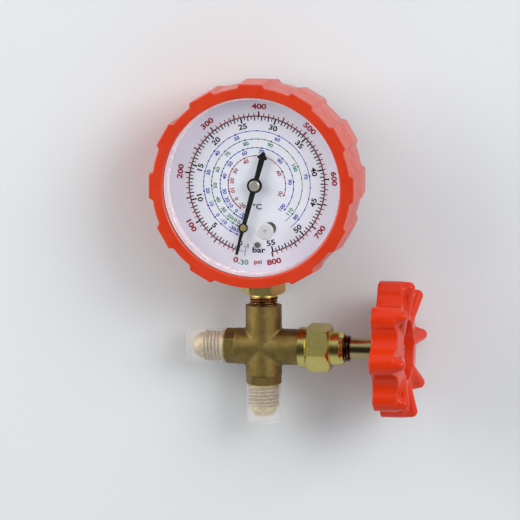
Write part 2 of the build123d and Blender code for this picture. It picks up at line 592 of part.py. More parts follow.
def restrictor():
    start = NPT_BOTTOM - GAUGE_RISE
    plug = rod(RESTRICTOR_R, start, start + RESTRICTOR_LENGTH)
    plug -= rod(RESTRICTOR_HOLE_R, start - 1, start + RESTRICTOR_LENGTH + 1)
    plug -= Pos(0, 0, start) * Box(5, 0.6, 1.2)
    return Rot(-90, 0, 0) * plug


# ---------------------------------------------------------------- case, boot, lens, dial
def gauge_case():
    ledge_r = CASE_INNER_R - DIAL_LEDGE
    case = turned(
        (CASE_BACK, 0), (CASE_BACK, CASE_R - 1.2), (CASE_BACK + 1.2, CASE_R), (CASE_FRONT, CASE_R),
        (CASE_FRONT, CASE_INNER_R), (DIAL_BACK, CASE_INNER_R), (DIAL_BACK, ledge_r),
        (FLOOR_FRONT, ledge_r), (FLOOR_FRONT, 0))
    case -= Rot(-90, 0, 0) * rod(NECK_R + SLIP, -CASE_R - 2, -ledge_r + 3)
    case -= Rot(-90, 0, 0) * hex_bar(SOCKET_HEX_AF + 4 * SEATED, -CASE_R - 2, CASE_BOTTOM + SEATED)
    for side in (-1, 1):
        case -= Pos(side * CASE_SCREW_X, CASE_SCREW_Y, 0) * rod(
            CASE_SCREW_R + 0.15, CASE_BACK - 1, FLOOR_FRONT + 1)
    return case


def case_screws():
    return Compound([
        Rot(180, 0, 0) * screw(
            side * CASE_SCREW_X, -CASE_SCREW_Y, -CASE_BACK, CASE_SCREW_R, CASE_SCREW_LENGTH,
            CASE_SCREW_HEAD_R, CASE_SCREW_HEAD_HEIGHT, 0.7)
        for side in (-1, 1)])


def boot_lobe():
    """One grip lobe on +X: flat-topped, with sloping flanks and a crease round its middle."""
    half = math.radians(BOOT_LOBE_ANGLE / 2)
    sections = []
    rings = ((BOOT_FRONT, BOOT_FRONT_R), (BOOT_MIDDLE, BOOT_MIDDLE_R), (BOOT_BACK, BOOT_BACK_R))
    for level, root_r in rings:
        top_x = (root_r + BOOT_LOBE_HEIGHT) * math.cos(half)
        top_y = (root_r + BOOT_LOBE_HEIGHT) * math.sin(half) - BOOT_LOBE_FLANK
        foot_x = CASE_R + 1.0
        foot_y = (root_r + BOOT_LOBE_HEIGHT) * math.sin(half) + BOOT_LOBE_FLANK / 2
        outline = Polyline((foot_x, -foot_y), (top_x, -top_y), (top_x, top_y), (foot_x, foot_y), close=True)
        sections.append(Pos(0, 0, level) * make_face(outline))
    return loft(sections[:2], ruled=True) + loft(sections[1:], ruled=True)


def protective_boot():
    inner = CASE_R + BOOT_GAP
    shell = turned(
        (BOOT_BACK, 0), (BOOT_BACK, BOOT_BACK_R), (BOOT_MIDDLE, BOOT_MIDDLE_R), (BOOT_FRONT, BOOT_FRONT_R),
        (BOOT_FRONT, 0))
    for lobe in range(BOOT_LOBES):
        shell += Rot(0, 0, -90 + (lobe + 1) * BOOT_PITCH) * boot_lobe()
    shell -= turned(
        (CASE_BACK - BOOT_GAP, 0), (CASE_BACK - BOOT_GAP, inner),
        (LENS_BACK + LENS_FLANGE + BOOT_GAP, inner),
        (LENS_BACK + LENS_FLANGE + BOOT_GAP, BOOT_OPENING_R), (BOOT_FRONT - 0.5, BOOT_OPENING_R),
        (BOOT_FRONT + 0.1, BOOT_OPENING_R + 0.6), (BOOT_FRONT + 0.1, 0))
    shell -= rod(BOOT_BACK_OPENING_R, BOOT_BACK - 1, CASE_BACK + 1)
    hole = Rot(-90, 0, 0) * rod(BOOT_STEM_HOLE_R, -BOOT_MIDDLE_R - 4, -CASE_R + 4)
    slot = box_between(
        (-BOOT_STEM_HOLE_R, BOOT_STEM_HOLE_R), (-BOOT_MIDDLE_R - 4, -BOOT_BACK_OPENING_R + 3),
        (BOOT_BACK - 1, 0))
    return shell - hole - slot


def lens_gasket():
    return tube(CASE_R - 0.1, CASE_INNER_R + 0.1, CASE_FRONT, LENS_BACK)


def lens():
    skirt_r = CASE_INNER_R - 0.15
    skirt_back = DIAL_FACE + LENS_DIAL_GAP
    clear = turned(
        (LENS_FRONT, 0), (LENS_FRONT, LENS_PLUG_R - LENS_CORNER), (LENS_FRONT - 0.3, LENS_PLUG_R - 0.3),
        (LENS_FRONT - LENS_CORNER, LENS_PLUG_R), (LENS_BACK + LENS_FLANGE, LENS_PLUG_R),
        (LENS_BACK + LENS_FLANGE, CASE_R - 0.1), (LENS_BACK, CASE_R - 0.1), (LENS_BACK, skirt_r),
        (skirt_back, skirt_r), (skirt_back, skirt_r - LENS_SKIRT_WALL),
        (LENS_BACK - 0.8, skirt_r - LENS_SKIRT_WALL), (LENS_BACK, skirt_r - LENS_SKIRT_WALL - 0.8),
        (LENS_BACK, 0))
    return clear - Pos(ZERO_SCREW_X, ZERO_SCREW_Y, 0) * rod(
        PLUG_SHANK_R + SLIP, LENS_BACK - 1, LENS_FRONT + 1)


def lens_plug():
    shank_back = LENS_BACK - 0.6
    plug = turned(
        (shank_back, 0), (shank_back, PLUG_SHANK_R - 0.3), (shank_back + 0.4, PLUG_SHANK_R),
        (LENS_FRONT, PLUG_SHANK_R), (LENS_FRONT, PLUG_HEAD_R), (LENS_FRONT + PLUG_HEAD * 0.6, PLUG_HEAD_R),
        (LENS_FRONT + PLUG_HEAD, PLUG_HEAD_R - 0.5), (LENS_FRONT + PLUG_HEAD, PLUG_DIMPLE_R),
        (LENS_FRONT + PLUG_HEAD - 0.5, PLUG_DIMPLE_R * 0.6), (LENS_FRONT + PLUG_HEAD - 0.5, 0))
    return Pos(ZERO_SCREW_X, ZERO_SCREW_Y, 0) * plug


def dial_plate():
    dial = rod(DIAL_R, DIAL_BACK, DIAL_FACE)
    dial -= rod(PINION_ARBOR_R + 0.8, DIAL_BACK - 1, DIAL_FACE + 1)
    dial -= Pos(ZERO_SCREW_X, ZERO_SCREW_Y, 0) * rod(ZERO_SCREW_HEAD_R + 0.3, DIAL_BACK - 1, DIAL_FACE + 1)
    return dial - Pos(DIAL_SCREW_X, DIAL_SCREW_Y, 0) * rod(
        SMALL_SCREW_R + 0.1, DIAL_BACK - 1, DIAL_FACE + 1)


def dial_post():
    post = rod(DIAL_POST_R, FRONT_PLATE_FRONT, DIAL_BACK)
    post -= rod(SMALL_SCREW_R + SEATED, DIAL_BACK - 2.2, DIAL_BACK + 1)
    return Pos(DIAL_SCREW_X, DIAL_SCREW_Y, 0) * post


def dial_screw():
    return screw(
        DIAL_SCREW_X, DIAL_SCREW_Y, DIAL_FACE, SMALL_SCREW_R, DIAL_THICKNESS + 1.8, DIAL_SCREW_HEAD_R, 0.6)


# ---------------------------------------------------------------- movement
def movement_plate(back):
    height = PLATE_TOP - PLATE_BOTTOM
    outline = RectangleRounded(2 * PLATE_HALF_WIDTH, height, 2.5)
    return Pos(0, PLATE_BOTTOM + height / 2, back) * extrude(outline, PLATE_THICKNESS)


def pillar_places():
    return [(side * PILLAR_X, y) for side in (-1, 1) for y in (PILLAR_TOP_Y, PILLAR_BOTTOM_Y)]


def movement_back_plate():
    plate = movement_plate(BACK_PLATE)
    for place_x, place_y in PLATE_SCREW_PLACES:
        plate -= Pos(place_x, place_y, 0) * rod(
            SMALL_SCREW_R + SLIP, BACK_PLATE - 1, BACK_PLATE_FRONT + 1)
    for place_x, place_y in ((0, 0), (0, SECTOR_Y)):
        plate -= Pos(place_x, place_y, 0) * rod(PIVOT_R + SLIP, BACK_PLATE - 1, BACK_PLATE_FRONT + 1)
    return plate


def movement_front_plate():
    plate = movement_plate(FRONT_PLATE)
    for place_x, place_y in pillar_places():
        plate -= Pos(place_x, place_y, 0) * rod(
            SMALL_SCREW_R + SLIP, FRONT_PLATE - 1, FRONT_PLATE_FRONT + 1)
    plate -= rod(PINION_ARBOR_R + SLIP, FRONT_PLATE - 1, FRONT_PLATE_FRONT + 1)
    plate -= Pos(0, SECTOR_Y, 0) * rod(PIVOT_R + SLIP, FRONT_PLATE - 1, FRONT_PLATE_FRONT + 1)
    return plate - Pos(ZERO_SCREW_X, ZERO_SCREW_Y, 0) * rod(
        ZERO_SCREW_SHANK_R + SLIP, FRONT_PLATE - 1, FRONT_PLATE_FRONT + 1)


def movement_pillars():
    posts = []
    for place_x, place_y in pillar_places():
        post = rod(PILLAR_R, BACK_PLATE_FRONT, FRONT_PLATE)
        post -= rod(SMALL_SCREW_R + SEATED, FRONT_PLATE - 2.0, FRONT_PLATE + 1)
        posts.append(Pos(place_x, place_y, 0) * post)
    return Compound(posts)


def movement_screws():
    front = [
        screw(place_x, place_y, FRONT_PLATE_FRONT, SMALL_SCREW_R, PLATE_THICKNESS + 1.7, SMALL_SCREW_HEAD_R,
              SMALL_SCREW_HEAD)
        for place_x, place_y in pillar_places()]
    back = [
        screw(place_x, place_y, BACK_PLATE_FRONT, SMALL_SCREW_R, PLATE_THICKNESS + 1.9, SMALL_SCREW_HEAD_R,
              SMALL_SCREW_HEAD)
        for place_x, place_y in PLATE_SCREW_PLACES]
    return Compound(front + back)


def gear_tooth(pitch_r, count, root_r):
    """Outline of one narrow tooth on +X, thinned so that the pair runs with backlash."""
    tip_r = pitch_r + 0.8 * MODULE
    pitch_half = TOOTH_SHARE * math.pi / count
    tip_half = 0.55 * pitch_half
    root_half = 1.35 * pitch_half
    corners = [
        ((root_r - 0.1), root_half), (root_r, root_half), (pitch_r, pitch_half), (tip_r, tip_half),
        (tip_r, -tip_half), (pitch_r, -pitch_half), (root_r, -root_half), ((root_r - 0.1), -root_half)]
    points = [(radius * math.cos(angle), radius * math.sin(angle)) for radius, angle in corners]
    return make_face(Polyline(*points, close=True))


def sector_gear():
    teeth = PINION_TEETH * SECTOR_RATIO
    pitch = 360 / teeth
    root_r = SECTOR_R - 1.15 * MODULE
    rim_r = root_r - 1.6
    start_x, start_y = polar(root_r, SECTOR_LOW)
    end_x, end_y = polar(root_r, SECTOR_HIGH)
    middle = polar(root_r, (SECTOR_LOW + SECTOR_HIGH) / 2)
    fan = make_face([
        ThreePointArc((start_x, start_y), middle, (end_x, end_y)), Line((end_x, end_y), (0, 0)),
        Line((0, 0), (start_x, start_y))])
    window_low = SECTOR_LOW + WINDOW_MARGIN
    window_high = SECTOR_HIGH - WINDOW_MARGIN
    outer = [polar(rim_r, angle) for angle in (window_low, (window_low + window_high) / 2, window_high)]
    inner = [polar(4.6, angle) for angle in (window_high, (window_low + window_high) / 2, window_low)]
    window = make_face([
        ThreePointArc(*outer), Line(outer[2], inner[0]), ThreePointArc(*inner), Line(inner[2], outer[0])])
    blade = fan - window + Circle(2.4)
    tail_turn = Rot(0, 0, TAIL_ANGLE)
    blade += tail_turn * Pos(TAIL_LENGTH / 2, 0) * Rectangle(TAIL_LENGTH, 1.8)
    blade += tail_turn * Pos(TAIL_LENGTH, 0) * Circle(LINK_EYE_R)
    count = int((SECTOR_HIGH - SECTOR_LOW) / pitch)
    highest = 90 + pitch / 2 + pitch * int((SECTOR_HIGH - 90 - pitch / 2) / pitch)
    for tooth in range(count):
        blade += Rot(0, 0, highest - tooth * pitch) * gear_tooth(SECTOR_R, teeth, root_r)
    sector = Pos(0, 0, SECTOR_BACK) * extrude(blade, SECTOR_THICKNESS)
    sector += rod(PIVOT_R, BACK_PLATE + 0.1, FRONT_PLATE_FRONT - 0.1)
    sector += rod(1.1, BACK_PLATE_FRONT + SLIP, FRONT_PLATE - SLIP)
    sector += tail_turn * Pos(TAIL_LENGTH, 0, 0) * rod(PIVOT_R, SECTOR_BACK, LINK_FRONT + 0.4)
    return Pos(0, SECTOR_Y, 0) * sector


def pinion_arbor():
    root_r = PINION_R - 1.15 * MODULE
    wheel = Circle(root_r)
    for tooth in range(PINION_TEETH):
        wheel += Rot(0, 0, -90 + tooth * 360 / PINION_TEETH) * gear_tooth(PINION_R, PINION_TEETH, root_r)
    pinion_back = SECTOR_BACK - 0.6
    arbor = Pos(0, 0, pinion_back) * extrude(wheel, SECTOR_THICKNESS + 1.4)
    arbor += rod(PIVOT_R, BACK_PLATE + 0.1, pinion_back)
    arbor += rod(root_r - 0.1, BACK_PLATE_FRONT + SLIP, pinion_back)
    arbor += rod(root_r - 0.1, pinion_back, FRONT_PLATE - SLIP)
    arbor += rod(PINION_ARBOR_R, FRONT_PLATE - 1, POINTER_LEVEL + POINTER_THICKNESS + 0.6)
    return arbor


def link():
    reach_x = TIP_X - TAIL_X
    reach_y = TIP_Y - TAIL_Y
    length = math.hypot(reach_x, reach_y)
    bar = Pos(length / 2, 0) * Rectangle(length, 1.3) + Circle(LINK_EYE_R) + Pos(length, 0) * Circle(1.5)
    strip = extrude(bar, LINK_THICKNESS)
    strip -= rod(PIVOT_R + SLIP, -1, 2)
    strip -= Pos(length, 0, 0) * rod(PIVOT_R + LINK_TIP_PLAY, -1, 2)
    angle = math.degrees(math.atan2(reach_y, reach_x))
    return Pos(TAIL_X, TAIL_Y, LINK_BACK) * Rot(0, 0, angle) * strip


def tube_tip():
    """Cap brazed on the tube's free end, with the ear and pin that draw the link."""
    half_r = TUBE_THICKNESS / 2 + 0.8
    depth_back = TUBE_MIDDLE - TUBE_WIDTH / 2 - 0.5
    depth_front = TUBE_MIDDLE + TUBE_WIDTH / 2 + 0.5
    block = Pos(TUBE_RADIUS, 0, 0) * box_between((-half_r, half_r), (-2.2, 2.2), (depth_back, depth_front))
    block = chamfer(block.edges().filter_by(Axis.Z), 0.5)
    ear = Pos(TUBE_RADIUS, 0, 0) * box_between((-1.6, 1.6), (-1.6, 1.6), (depth_front, LINK_BACK - 0.3))
    tip = Rot(0, 0, TUBE_TIP_ANGLE) * (block + ear) - tube_pocket()
    return tip + Pos(TIP_X, TIP_Y, 0) * rod(PIVOT_R, LINK_BACK - 0.4, LINK_FRONT + 0.4)


def hairspring():
    """Flat spiral of half-turn arcs round the arbor, ahead of the front plate."""
    step = HAIRSPRING_PITCH / 4
    radius = HAIRSPRING_IN_R
    start = (HAIRSPRING_IN_R, 0.0)
    arcs = []
    for half_turn in range(2 * HAIRSPRING_TURNS):
        side = 1 if half_turn % 2 == 0 else -1
        end = (start[0] - side * 2 * (radius + step / 2), 0.0)
        middle = ((start[0] + end[0]) / 2, side * (radius + step / 2))
        arcs.append(ThreePointArc(start, middle, end))
        start = end
        radius += step
    level = FRONT_PLATE_FRONT + 0.9
    return Pos(0, 0, level) * extrude(trace(arcs, HAIRSPRING_STRIP), HAIRSPRING_HEIGHT)


# ---------------------------------------------------------------- pointer and zero setting
def pointer():
    """Needle pointing up; the eye near its end holds the adjusting screw."""
    tip = Polyline((-1.0, 2.0), (-0.75, EYE_FROM_PIVOT), (-0.25, POINTER_LONG), (0.25, POINTER_LONG),
                   (0.75, EYE_FROM_PIVOT), (1.0, 2.0), close=True)
    head_y = -POINTER_TAIL
    tail = Polyline((-0.85, -2.0), (-1.05, head_y + 2.9), (-1.95, head_y + 2.4), (-0.4, head_y + 0.2),
                    (0, head_y), (0.4, head_y + 0.2), (1.95, head_y + 2.4), (1.05, head_y + 2.9),
                    (0.85, -2.0), close=True)
    flat = make_face(tip) + make_face(tail) + Circle(POINTER_HUB_R) + Pos(0, EYE_FROM_PIVOT) * Circle(EYE_R)
    needle = Pos(0, 0, POINTER_LEVEL) * extrude(flat, POINTER_THICKNESS)
    needle += rod(1.6, POINTER_LEVEL - 0.8, POINTER_LEVEL)
    needle += tube(POINTER_HUB_R, POINTER_CAP_R + 0.1, POINTER_LEVEL, POINTER_LEVEL + 1.0)
    needle -= rod(PINION_ARBOR_R + SEATED, POINTER_LEVEL - 2, POINTER_LEVEL + 3)
    needle -= Pos(0, EYE_FROM_PIVOT, 0) * rod(EYE_HOLE_R, POINTER_LEVEL - 1, POINTER_LEVEL + 1)
    return POINTER_TURN * needle


def pointer_cap():
    seat = POINTER_LEVEL + POINTER_THICKNESS
    cap = turned(
        (seat, 0), (seat, POINTER_CAP_R), (seat + 0.8, POINTER_CAP_R), (seat + 1.2, POINTER_CAP_R - 0.4),
        (seat + 1.2, 0))
    return cap - rod(PINION_ARBOR_R + SEATED, seat - 1, seat + 0.7)


def pointer_adjuster():
    middle = POINTER_LEVEL + POINTER_THICKNESS / 2
    adjuster = rod(ADJUSTER_HEAD_R, middle - 0.5, middle + 0.5)
    adjuster -= Pos(0, 0, middle + 0.5) * Box(3, 0.45, 0.6)
    return POINTER_TURN * Pos(0, EYE_FROM_PIVOT, 0) * adjuster


def zero_screw():
    head_back = DIAL_BACK + 0.2
    shank = rod(ZERO_SCREW_SHANK_R, FRONT_PLATE - 0.5, head_back)
    head = rod(ZERO_SCREW_HEAD_R, head_back, head_back + 0.9)
    head -= Pos(0, 0, head_back + 0.9) * Rot(0, 0, 35) * Box(5, 0.6, 0.8)
    return Pos(ZERO_SCREW_X, ZERO_SCREW_Y, 0) * (shank + head)


# ---------------------------------------------------------------- all nodes
def main():
    os.makedirs("parts", exist_ok=True)
    manifold = {
        "manifold_body": manifold_body(),
        "valve_bonnet": valve_bonnet(),
        "valve_stem": valve_stem(),
        "stem_o_rings": stem_o_rings(),
        "seat_plunger": seat_plunger(),
        "seat_seal": seat_seal(),
        "handwheel": handwheel(),
        "handwheel_washer": handwheel_washer(),
        "handwheel_screw": handwheel_screw(),
        "left_port_cap": LEFT * port_cap(),
        "bottom_port_cap": DOWN * port_cap(),
    }
    gauge = {
        "gauge_socket": gauge_socket(),
        "restrictor": restrictor(),
        "gauge_case": gauge_case(),
        "case_screws": case_screws(),
        "protective_boot": protective_boot(),
        "lens_gasket": lens_gasket(),
        "lens": lens(),
        "lens_plug": lens_plug(),
        "dial_plate": dial_plate(),
        "dial_post": dial_post(),
        "dial_screw": dial_screw(),
        "bourdon_tube": bourdon_tube(),
        "tube_tip": tube_tip(),
        "link": link(),
        "movement_back_plate": movement_back_plate(),
        "movement_front_plate": movement_front_plate(),
        "movement_pillars": movement_pillars(),
        "movement_screws": movement_screws(),
        "sector_gear": sector_gear(),
        "pinion_arbor": pinion_arbor(),
        "hairspring": hairspring(),
        "pointer": pointer(),
        "pointer_cap": pointer_cap(),
        "pointer_adjuster": pointer_adjuster(),
        "zero_screw": zero_screw(),
    }
    for node, shape in manifold.items():
        write(shape, node)
    for node, shape in gauge.items():
        write(GAUGE * shape, node)


main()
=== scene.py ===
# %% [markdown]
# # Refrigerant manifold gauge
# The object is a small brass valve block with a dial gauge in a rubber boot on top and a
# plastic handwheel at its right.  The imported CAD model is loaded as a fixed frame, and the
# cells below dress it: camera and room first, then finishes, then one piece at a time.
# The frame gives every piece its true size and place, so nothing here moves or scales it.

# %% Load the frame
import math
import bpy
from mathutils import Matrix, Vector


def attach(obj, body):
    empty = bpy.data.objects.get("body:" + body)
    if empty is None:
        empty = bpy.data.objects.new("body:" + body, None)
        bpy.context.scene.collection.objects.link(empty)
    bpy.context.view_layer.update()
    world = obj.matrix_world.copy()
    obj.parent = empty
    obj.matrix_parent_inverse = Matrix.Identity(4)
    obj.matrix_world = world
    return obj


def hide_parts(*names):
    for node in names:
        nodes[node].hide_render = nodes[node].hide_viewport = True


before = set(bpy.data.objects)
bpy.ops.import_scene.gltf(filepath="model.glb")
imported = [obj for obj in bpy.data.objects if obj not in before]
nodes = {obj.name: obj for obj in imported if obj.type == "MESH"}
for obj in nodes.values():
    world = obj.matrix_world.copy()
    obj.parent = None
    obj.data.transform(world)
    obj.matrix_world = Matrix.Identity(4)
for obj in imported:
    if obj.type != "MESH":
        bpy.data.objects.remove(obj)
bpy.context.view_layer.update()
MM = 0.001
MICRON = 0.000001

# %% [markdown]
# Everything is placed from two points of the real object: where the four arms of the brass
# body meet, and the middle of the dial's face.  The dial stands upright, but its marks and
# its lens are easier to draw lying flat, so one matrix stands a flat drawing up on it.

# %% Places that the pieces share
CROSS = Vector((0, 0, 25.3)) * MM
DIAL_CENTRE = Vector((0, -14.3, 86.1)) * MM


def face_reader(depth):
    """Matrix that stands a flat XY drawing up on the dial, depth metres proud of its face."""
    place = Matrix.Translation(DIAL_CENTRE - Vector((0, depth, 0)))
    return place @ Matrix.Rotation(math.radians(90), 4, "X")


print("dial centre:", tuple(DIAL_CENTRE))

# %% [markdown]
# A camera can be aimed with a Track To constraint, but then its roll and its exact framing
# are hard to set.  Here its three axes are worked out from two angles and a roll, and the
# place of the cross in the frame is given in pixels.  A long lens far away keeps the dial
# round and the arms of the brass straight.

# %% Camera
FRAME_PX = 520
SENSOR = 36.0
FOCAL_PX = 8000
PX_PER_MM = 2.75
AZIMUTH, ELEVATION, ROLL = (math.radians(a) for a in (10.95, 7.58, -0.18))
CROSS_PX = (263.8, 346.2)
FARTHEST = 50

toward_camera = Vector((
    math.sin(AZIMUTH) * math.cos(ELEVATION), -math.cos(AZIMUTH) * math.cos(ELEVATION), math.sin(ELEVATION)))
level_right = Vector((math.cos(AZIMUTH), math.sin(AZIMUTH), 0))
level_up = toward_camera.cross(level_right)
right = math.cos(ROLL) * level_right + math.sin(ROLL) * level_up
up = toward_camera.cross(right)
aim = CROSS - right * (CROSS_PX[0] - FRAME_PX / 2) / PX_PER_MM * MM
aim += up * (CROSS_PX[1] - FRAME_PX / 2) / PX_PER_MM * MM

bpy.ops.object.camera_add()
camera = bpy.context.object
camera.name = "main_camera"
camera.data.sensor_width = SENSOR
camera.data.lens = FOCAL_PX / FRAME_PX * SENSOR
camera.data.clip_end = FARTHEST
distance = FOCAL_PX / PX_PER_MM * MM
turn = Matrix((right, up, toward_camera)).transposed().to_4x4()
camera.matrix_world = Matrix.Translation(aim + toward_camera * distance) @ turn
bpy.context.scene.camera = camera
bpy.context.scene.view_settings.view_transform = "Standard"
print("camera distance in metres:", round(distance, 3))

# %% [markdown]
# The object lies on its back, on the wheel's rim, the boot's rim and nearly on the left
# cap.  The floor is the plane through those places, so that the soft shadows start where
# they touch.  A plane has two sides, and Backfacing tells them apart: from above it is a
# pale table, and from below it is clear, so that the object can be seen from behind too.

# %% Table top
REST_NORMAL = Vector((0.2074, -0.9783, 0.0)).normalized()
REST_POINT = Vector((43.5, 25.3, 27.5)) * MM
REST_GAP = 0.1 * MM
FLOOR_SIZE = 3.0
FLOOR_COLOR = (0.70, 0.725, 0.735, 1)

bpy.ops.mesh.primitive_plane_add(size=FLOOR_SIZE)
floor = bpy.context.object
floor.name = "table_top"
stand = REST_NORMAL.to_track_quat("Z", "Y").to_matrix().to_4x4()
floor.matrix_world = Matrix.Translation(REST_POINT - REST_NORMAL * REST_GAP) @ stand
table = bpy.data.materials.new("table_white")
table.use_nodes = True
table_nodes, table_links = table.node_tree.nodes, table.node_tree.links
table_nodes.clear()
paper = table_nodes.new("ShaderNodeBsdfPrincipled")
paper.inputs["Base Color"].default_value = FLOOR_COLOR
paper.inputs["Roughness"].default_value = 0.65
clear = table_nodes.new("ShaderNodeBsdfTransparent")
side = table_nodes.new("ShaderNodeNewGeometry")
choose = table_nodes.new("ShaderNodeMixShader")
table_out = table_nodes.new("ShaderNodeOutputMaterial")
table_links.new(side.outputs["Backfacing"], choose.inputs[0])
table_links.new(paper.outputs[0], choose.inputs[1])
table_links.new(clear.outputs[0], choose.inputs[2])
table_links.new(choose.outputs[0], table_out.inputs[0])
floor.data.materials.append(table)
print("table top faces:", tuple(round(part, 3) for part in REST_NORMAL))

# %% [markdown]
# Nearly every finish below does sums on values, so two helpers come first.  The first adds
# one Math node.  The second adds one Map Range node, which turns a value between two
# limits into a value between two others.

# %% Node helpers


def math_node(tree, operation, first, second):
    """Adds a Math node; first and second are numbers or sockets."""
    node = tree.nodes.new("ShaderNodeMath")
    node.operation = operation
    for slot, value in zip(node.inputs, (first, second)):
        if isinstance(value, (int, float)):
            slot.default_value = value
        else:
            tree.links.new(value, slot)
    return node.outputs[0]


def map_range(tree, value, before, after=(0.0, 1.0), smooth="LINEAR"):
    """Adds a Map Range node from the limits before to the limits after, numbers or sockets."""
    node = tree.nodes.new("ShaderNodeMapRange")
    node.interpolation_type = smooth
    node.inputs["From Min"].default_value, node.inputs["From Max"].default_value = before
    for label, limit in zip(("To Min", "To Max"), after):
        if isinstance(limit, (int, float)):
            node.inputs[label].default_value = limit
        else:
            tree.links.new(limit, node.inputs[label])
    tree.links.new(value, node.inputs["Value"])
    return node.outputs["Result"]


# %% [markdown]
# The room is a world that gives soft light from all sides.  Polished flats mirror the side
# that the reader stands on.  In an all-white room they would turn grey-white, so a cone of
# directions toward the reader is dark, as a person in dark clothes is.  Light Path keeps
# that cone out of what the camera sees: past the table, the camera and the clear pieces
# see the plain pale room, and metal sees the same room with the dark cone in it.

# %% Room light
ROOM_COLOR = (0.74, 0.77, 0.79, 1)
FILL_COLOR = (0.95, 0.97, 1.0, 1)
ROOM_FILL = 0.80
READER_SHADE = 0.06
READER_WAY = (-0.19, -0.97, -0.13)
READER_CORE, READER_EDGE = math.radians(14), math.radians(48)

room = bpy.data.worlds.new("pale_room")
bpy.context.scene.world = room
room.use_nodes = True
room_tree = room.node_tree
room_tree.nodes.clear()
seen = room_tree.nodes.new("ShaderNodeBackground")
seen.inputs["Color"].default_value = ROOM_COLOR
fill = room_tree.nodes.new("ShaderNodeBackground")
fill.inputs["Color"].default_value = FILL_COLOR
view_way = room_tree.nodes.new("ShaderNodeTexCoord")
toward_reader = room_tree.nodes.new("ShaderNodeVectorMath")
toward_reader.operation = "DOT_PRODUCT"
toward_reader.inputs[1].default_value = READER_WAY
room_tree.links.new(view_way.outputs["Generated"], toward_reader.inputs[0])
shade = map_range(
    room_tree, toward_reader.outputs["Value"], (math.cos(READER_EDGE), math.cos(READER_CORE)),
    (1.0, READER_SHADE), "SMOOTHSTEP")
ray = room_tree.nodes.new("ShaderNodeLightPath")
straight = math_node(room_tree, "MAXIMUM", ray.outputs["Is Camera Ray"], ray.outputs["Is Transmission Ray"])
shown = math_node(room_tree, "MAXIMUM", straight, ray.outputs["Is Glossy Ray"])
room_tree.links.new(math_node(room_tree, "MAXIMUM", straight, shade), seen.inputs["Strength"])
room_tree.links.new(math_node(room_tree, "MULTIPLY", shade, ROOM_FILL), fill.inputs["Strength"])
pick = room_tree.nodes.new("ShaderNodeMixShader")
room_out = room_tree.nodes.new("ShaderNodeOutputWorld")
room_tree.links.new(shown, pick.inputs[0])
room_tree.links.new(fill.outputs[0], pick.inputs[1])
room_tree.links.new(seen.outputs[0], pick.inputs[2])
room_tree.links.new(pick.outputs[0], room_out.inputs[0])
print("room nodes:", len(room_tree.nodes))

# %% [markdown]
# The world alone gives no direction to the light.  Two big area lamps stand for windows
# on the left and right.  They are big so that shadows and highlights have soft edges, and
# low at the sides so that the dial's face doesn't mirror them.  A weak one behind the
# object lights its back.

# %% Lamps
LAMP_TARGET = Vector((10, 0, 60)) * MM


def soft_box(name, side_shift, lift, out, size, power, tint):
    """Area lamp that looks at the gauge: side_shift along X, lift along Z, out from the table."""
    bpy.ops.object.light_add(type="AREA")
    lamp = bpy.context.object
    lamp.name = name
    lamp.data.shape = "RECTANGLE"
    lamp.data.size, lamp.data.size_y = size
    lamp.data.energy = power
    lamp.data.color = tint
    place = Vector((side_shift, 0, lift)) + REST_NORMAL * out
    aim_back = (place - LAMP_TARGET).to_track_quat("Z", "Y").to_matrix().to_4x4()
    lamp.matrix_world = Matrix.Translation(place) @ aim_back


soft_box("window_left", -0.95, 0.45, 0.62, (0.8, 0.8), 8.0, (1.0, 0.98, 0.96))
soft_box("window_right", 0.90, 0.60, 0.75, (0.9, 0.7), 10.0, (0.98, 0.985, 1.0))
soft_box("back_lamp", 0.1, 0.5, -0.9, (0.7, 0.7), 3.0, (1.0, 1.0, 1.0))

# %% [markdown]
# Two effects turn up in nearly every finish, and each becomes a node group with named
# inputs, so that a finish only says how big and how strong.  The first is grain: a fine
# noise that roughens the surface and a slower one that makes it glossier here and duller
# there.  Both read Object coordinates, so the grain is the same size on every piece.

# %% Grain
FLOAT, COLOR, VECTOR = "NodeSocketFloat", "NodeSocketColor", "NodeSocketVector"
CLOUD_SHARE = 0.12
NOISE_SPAN = (0.3, 0.7)


def new_group(name, inputs, outputs):
    """Empty node group; gives the group, the sockets that feed it and those that it feeds."""
    group = bpy.data.node_groups.new(name, "ShaderNodeTree")
    for label, kind, value in inputs:
        socket = group.interface.new_socket(label, in_out="INPUT", socket_type=kind)
        socket.default_value = value
    for label, kind in outputs:
        group.interface.new_socket(label, in_out="OUTPUT", socket_type=kind)
    ends = group.nodes.new("NodeGroupInput"), group.nodes.new("NodeGroupOutput")
    return group, ends[0].outputs, ends[1].inputs


def noise_on(tree, size, detail):
    """Noise on Object coordinates; size is a number or a socket, in patches per metre."""
    where = tree.nodes.new("ShaderNodeTexCoord")
    noise = tree.nodes.new("ShaderNodeTexNoise")
    noise.inputs["Detail"].default_value = detail
    tree.links.new(where.outputs["Object"], noise.inputs["Vector"])
    if isinstance(size, (int, float)):
        noise.inputs["Scale"].default_value = size
    else:
        tree.links.new(size, noise.inputs["Scale"])
    return noise


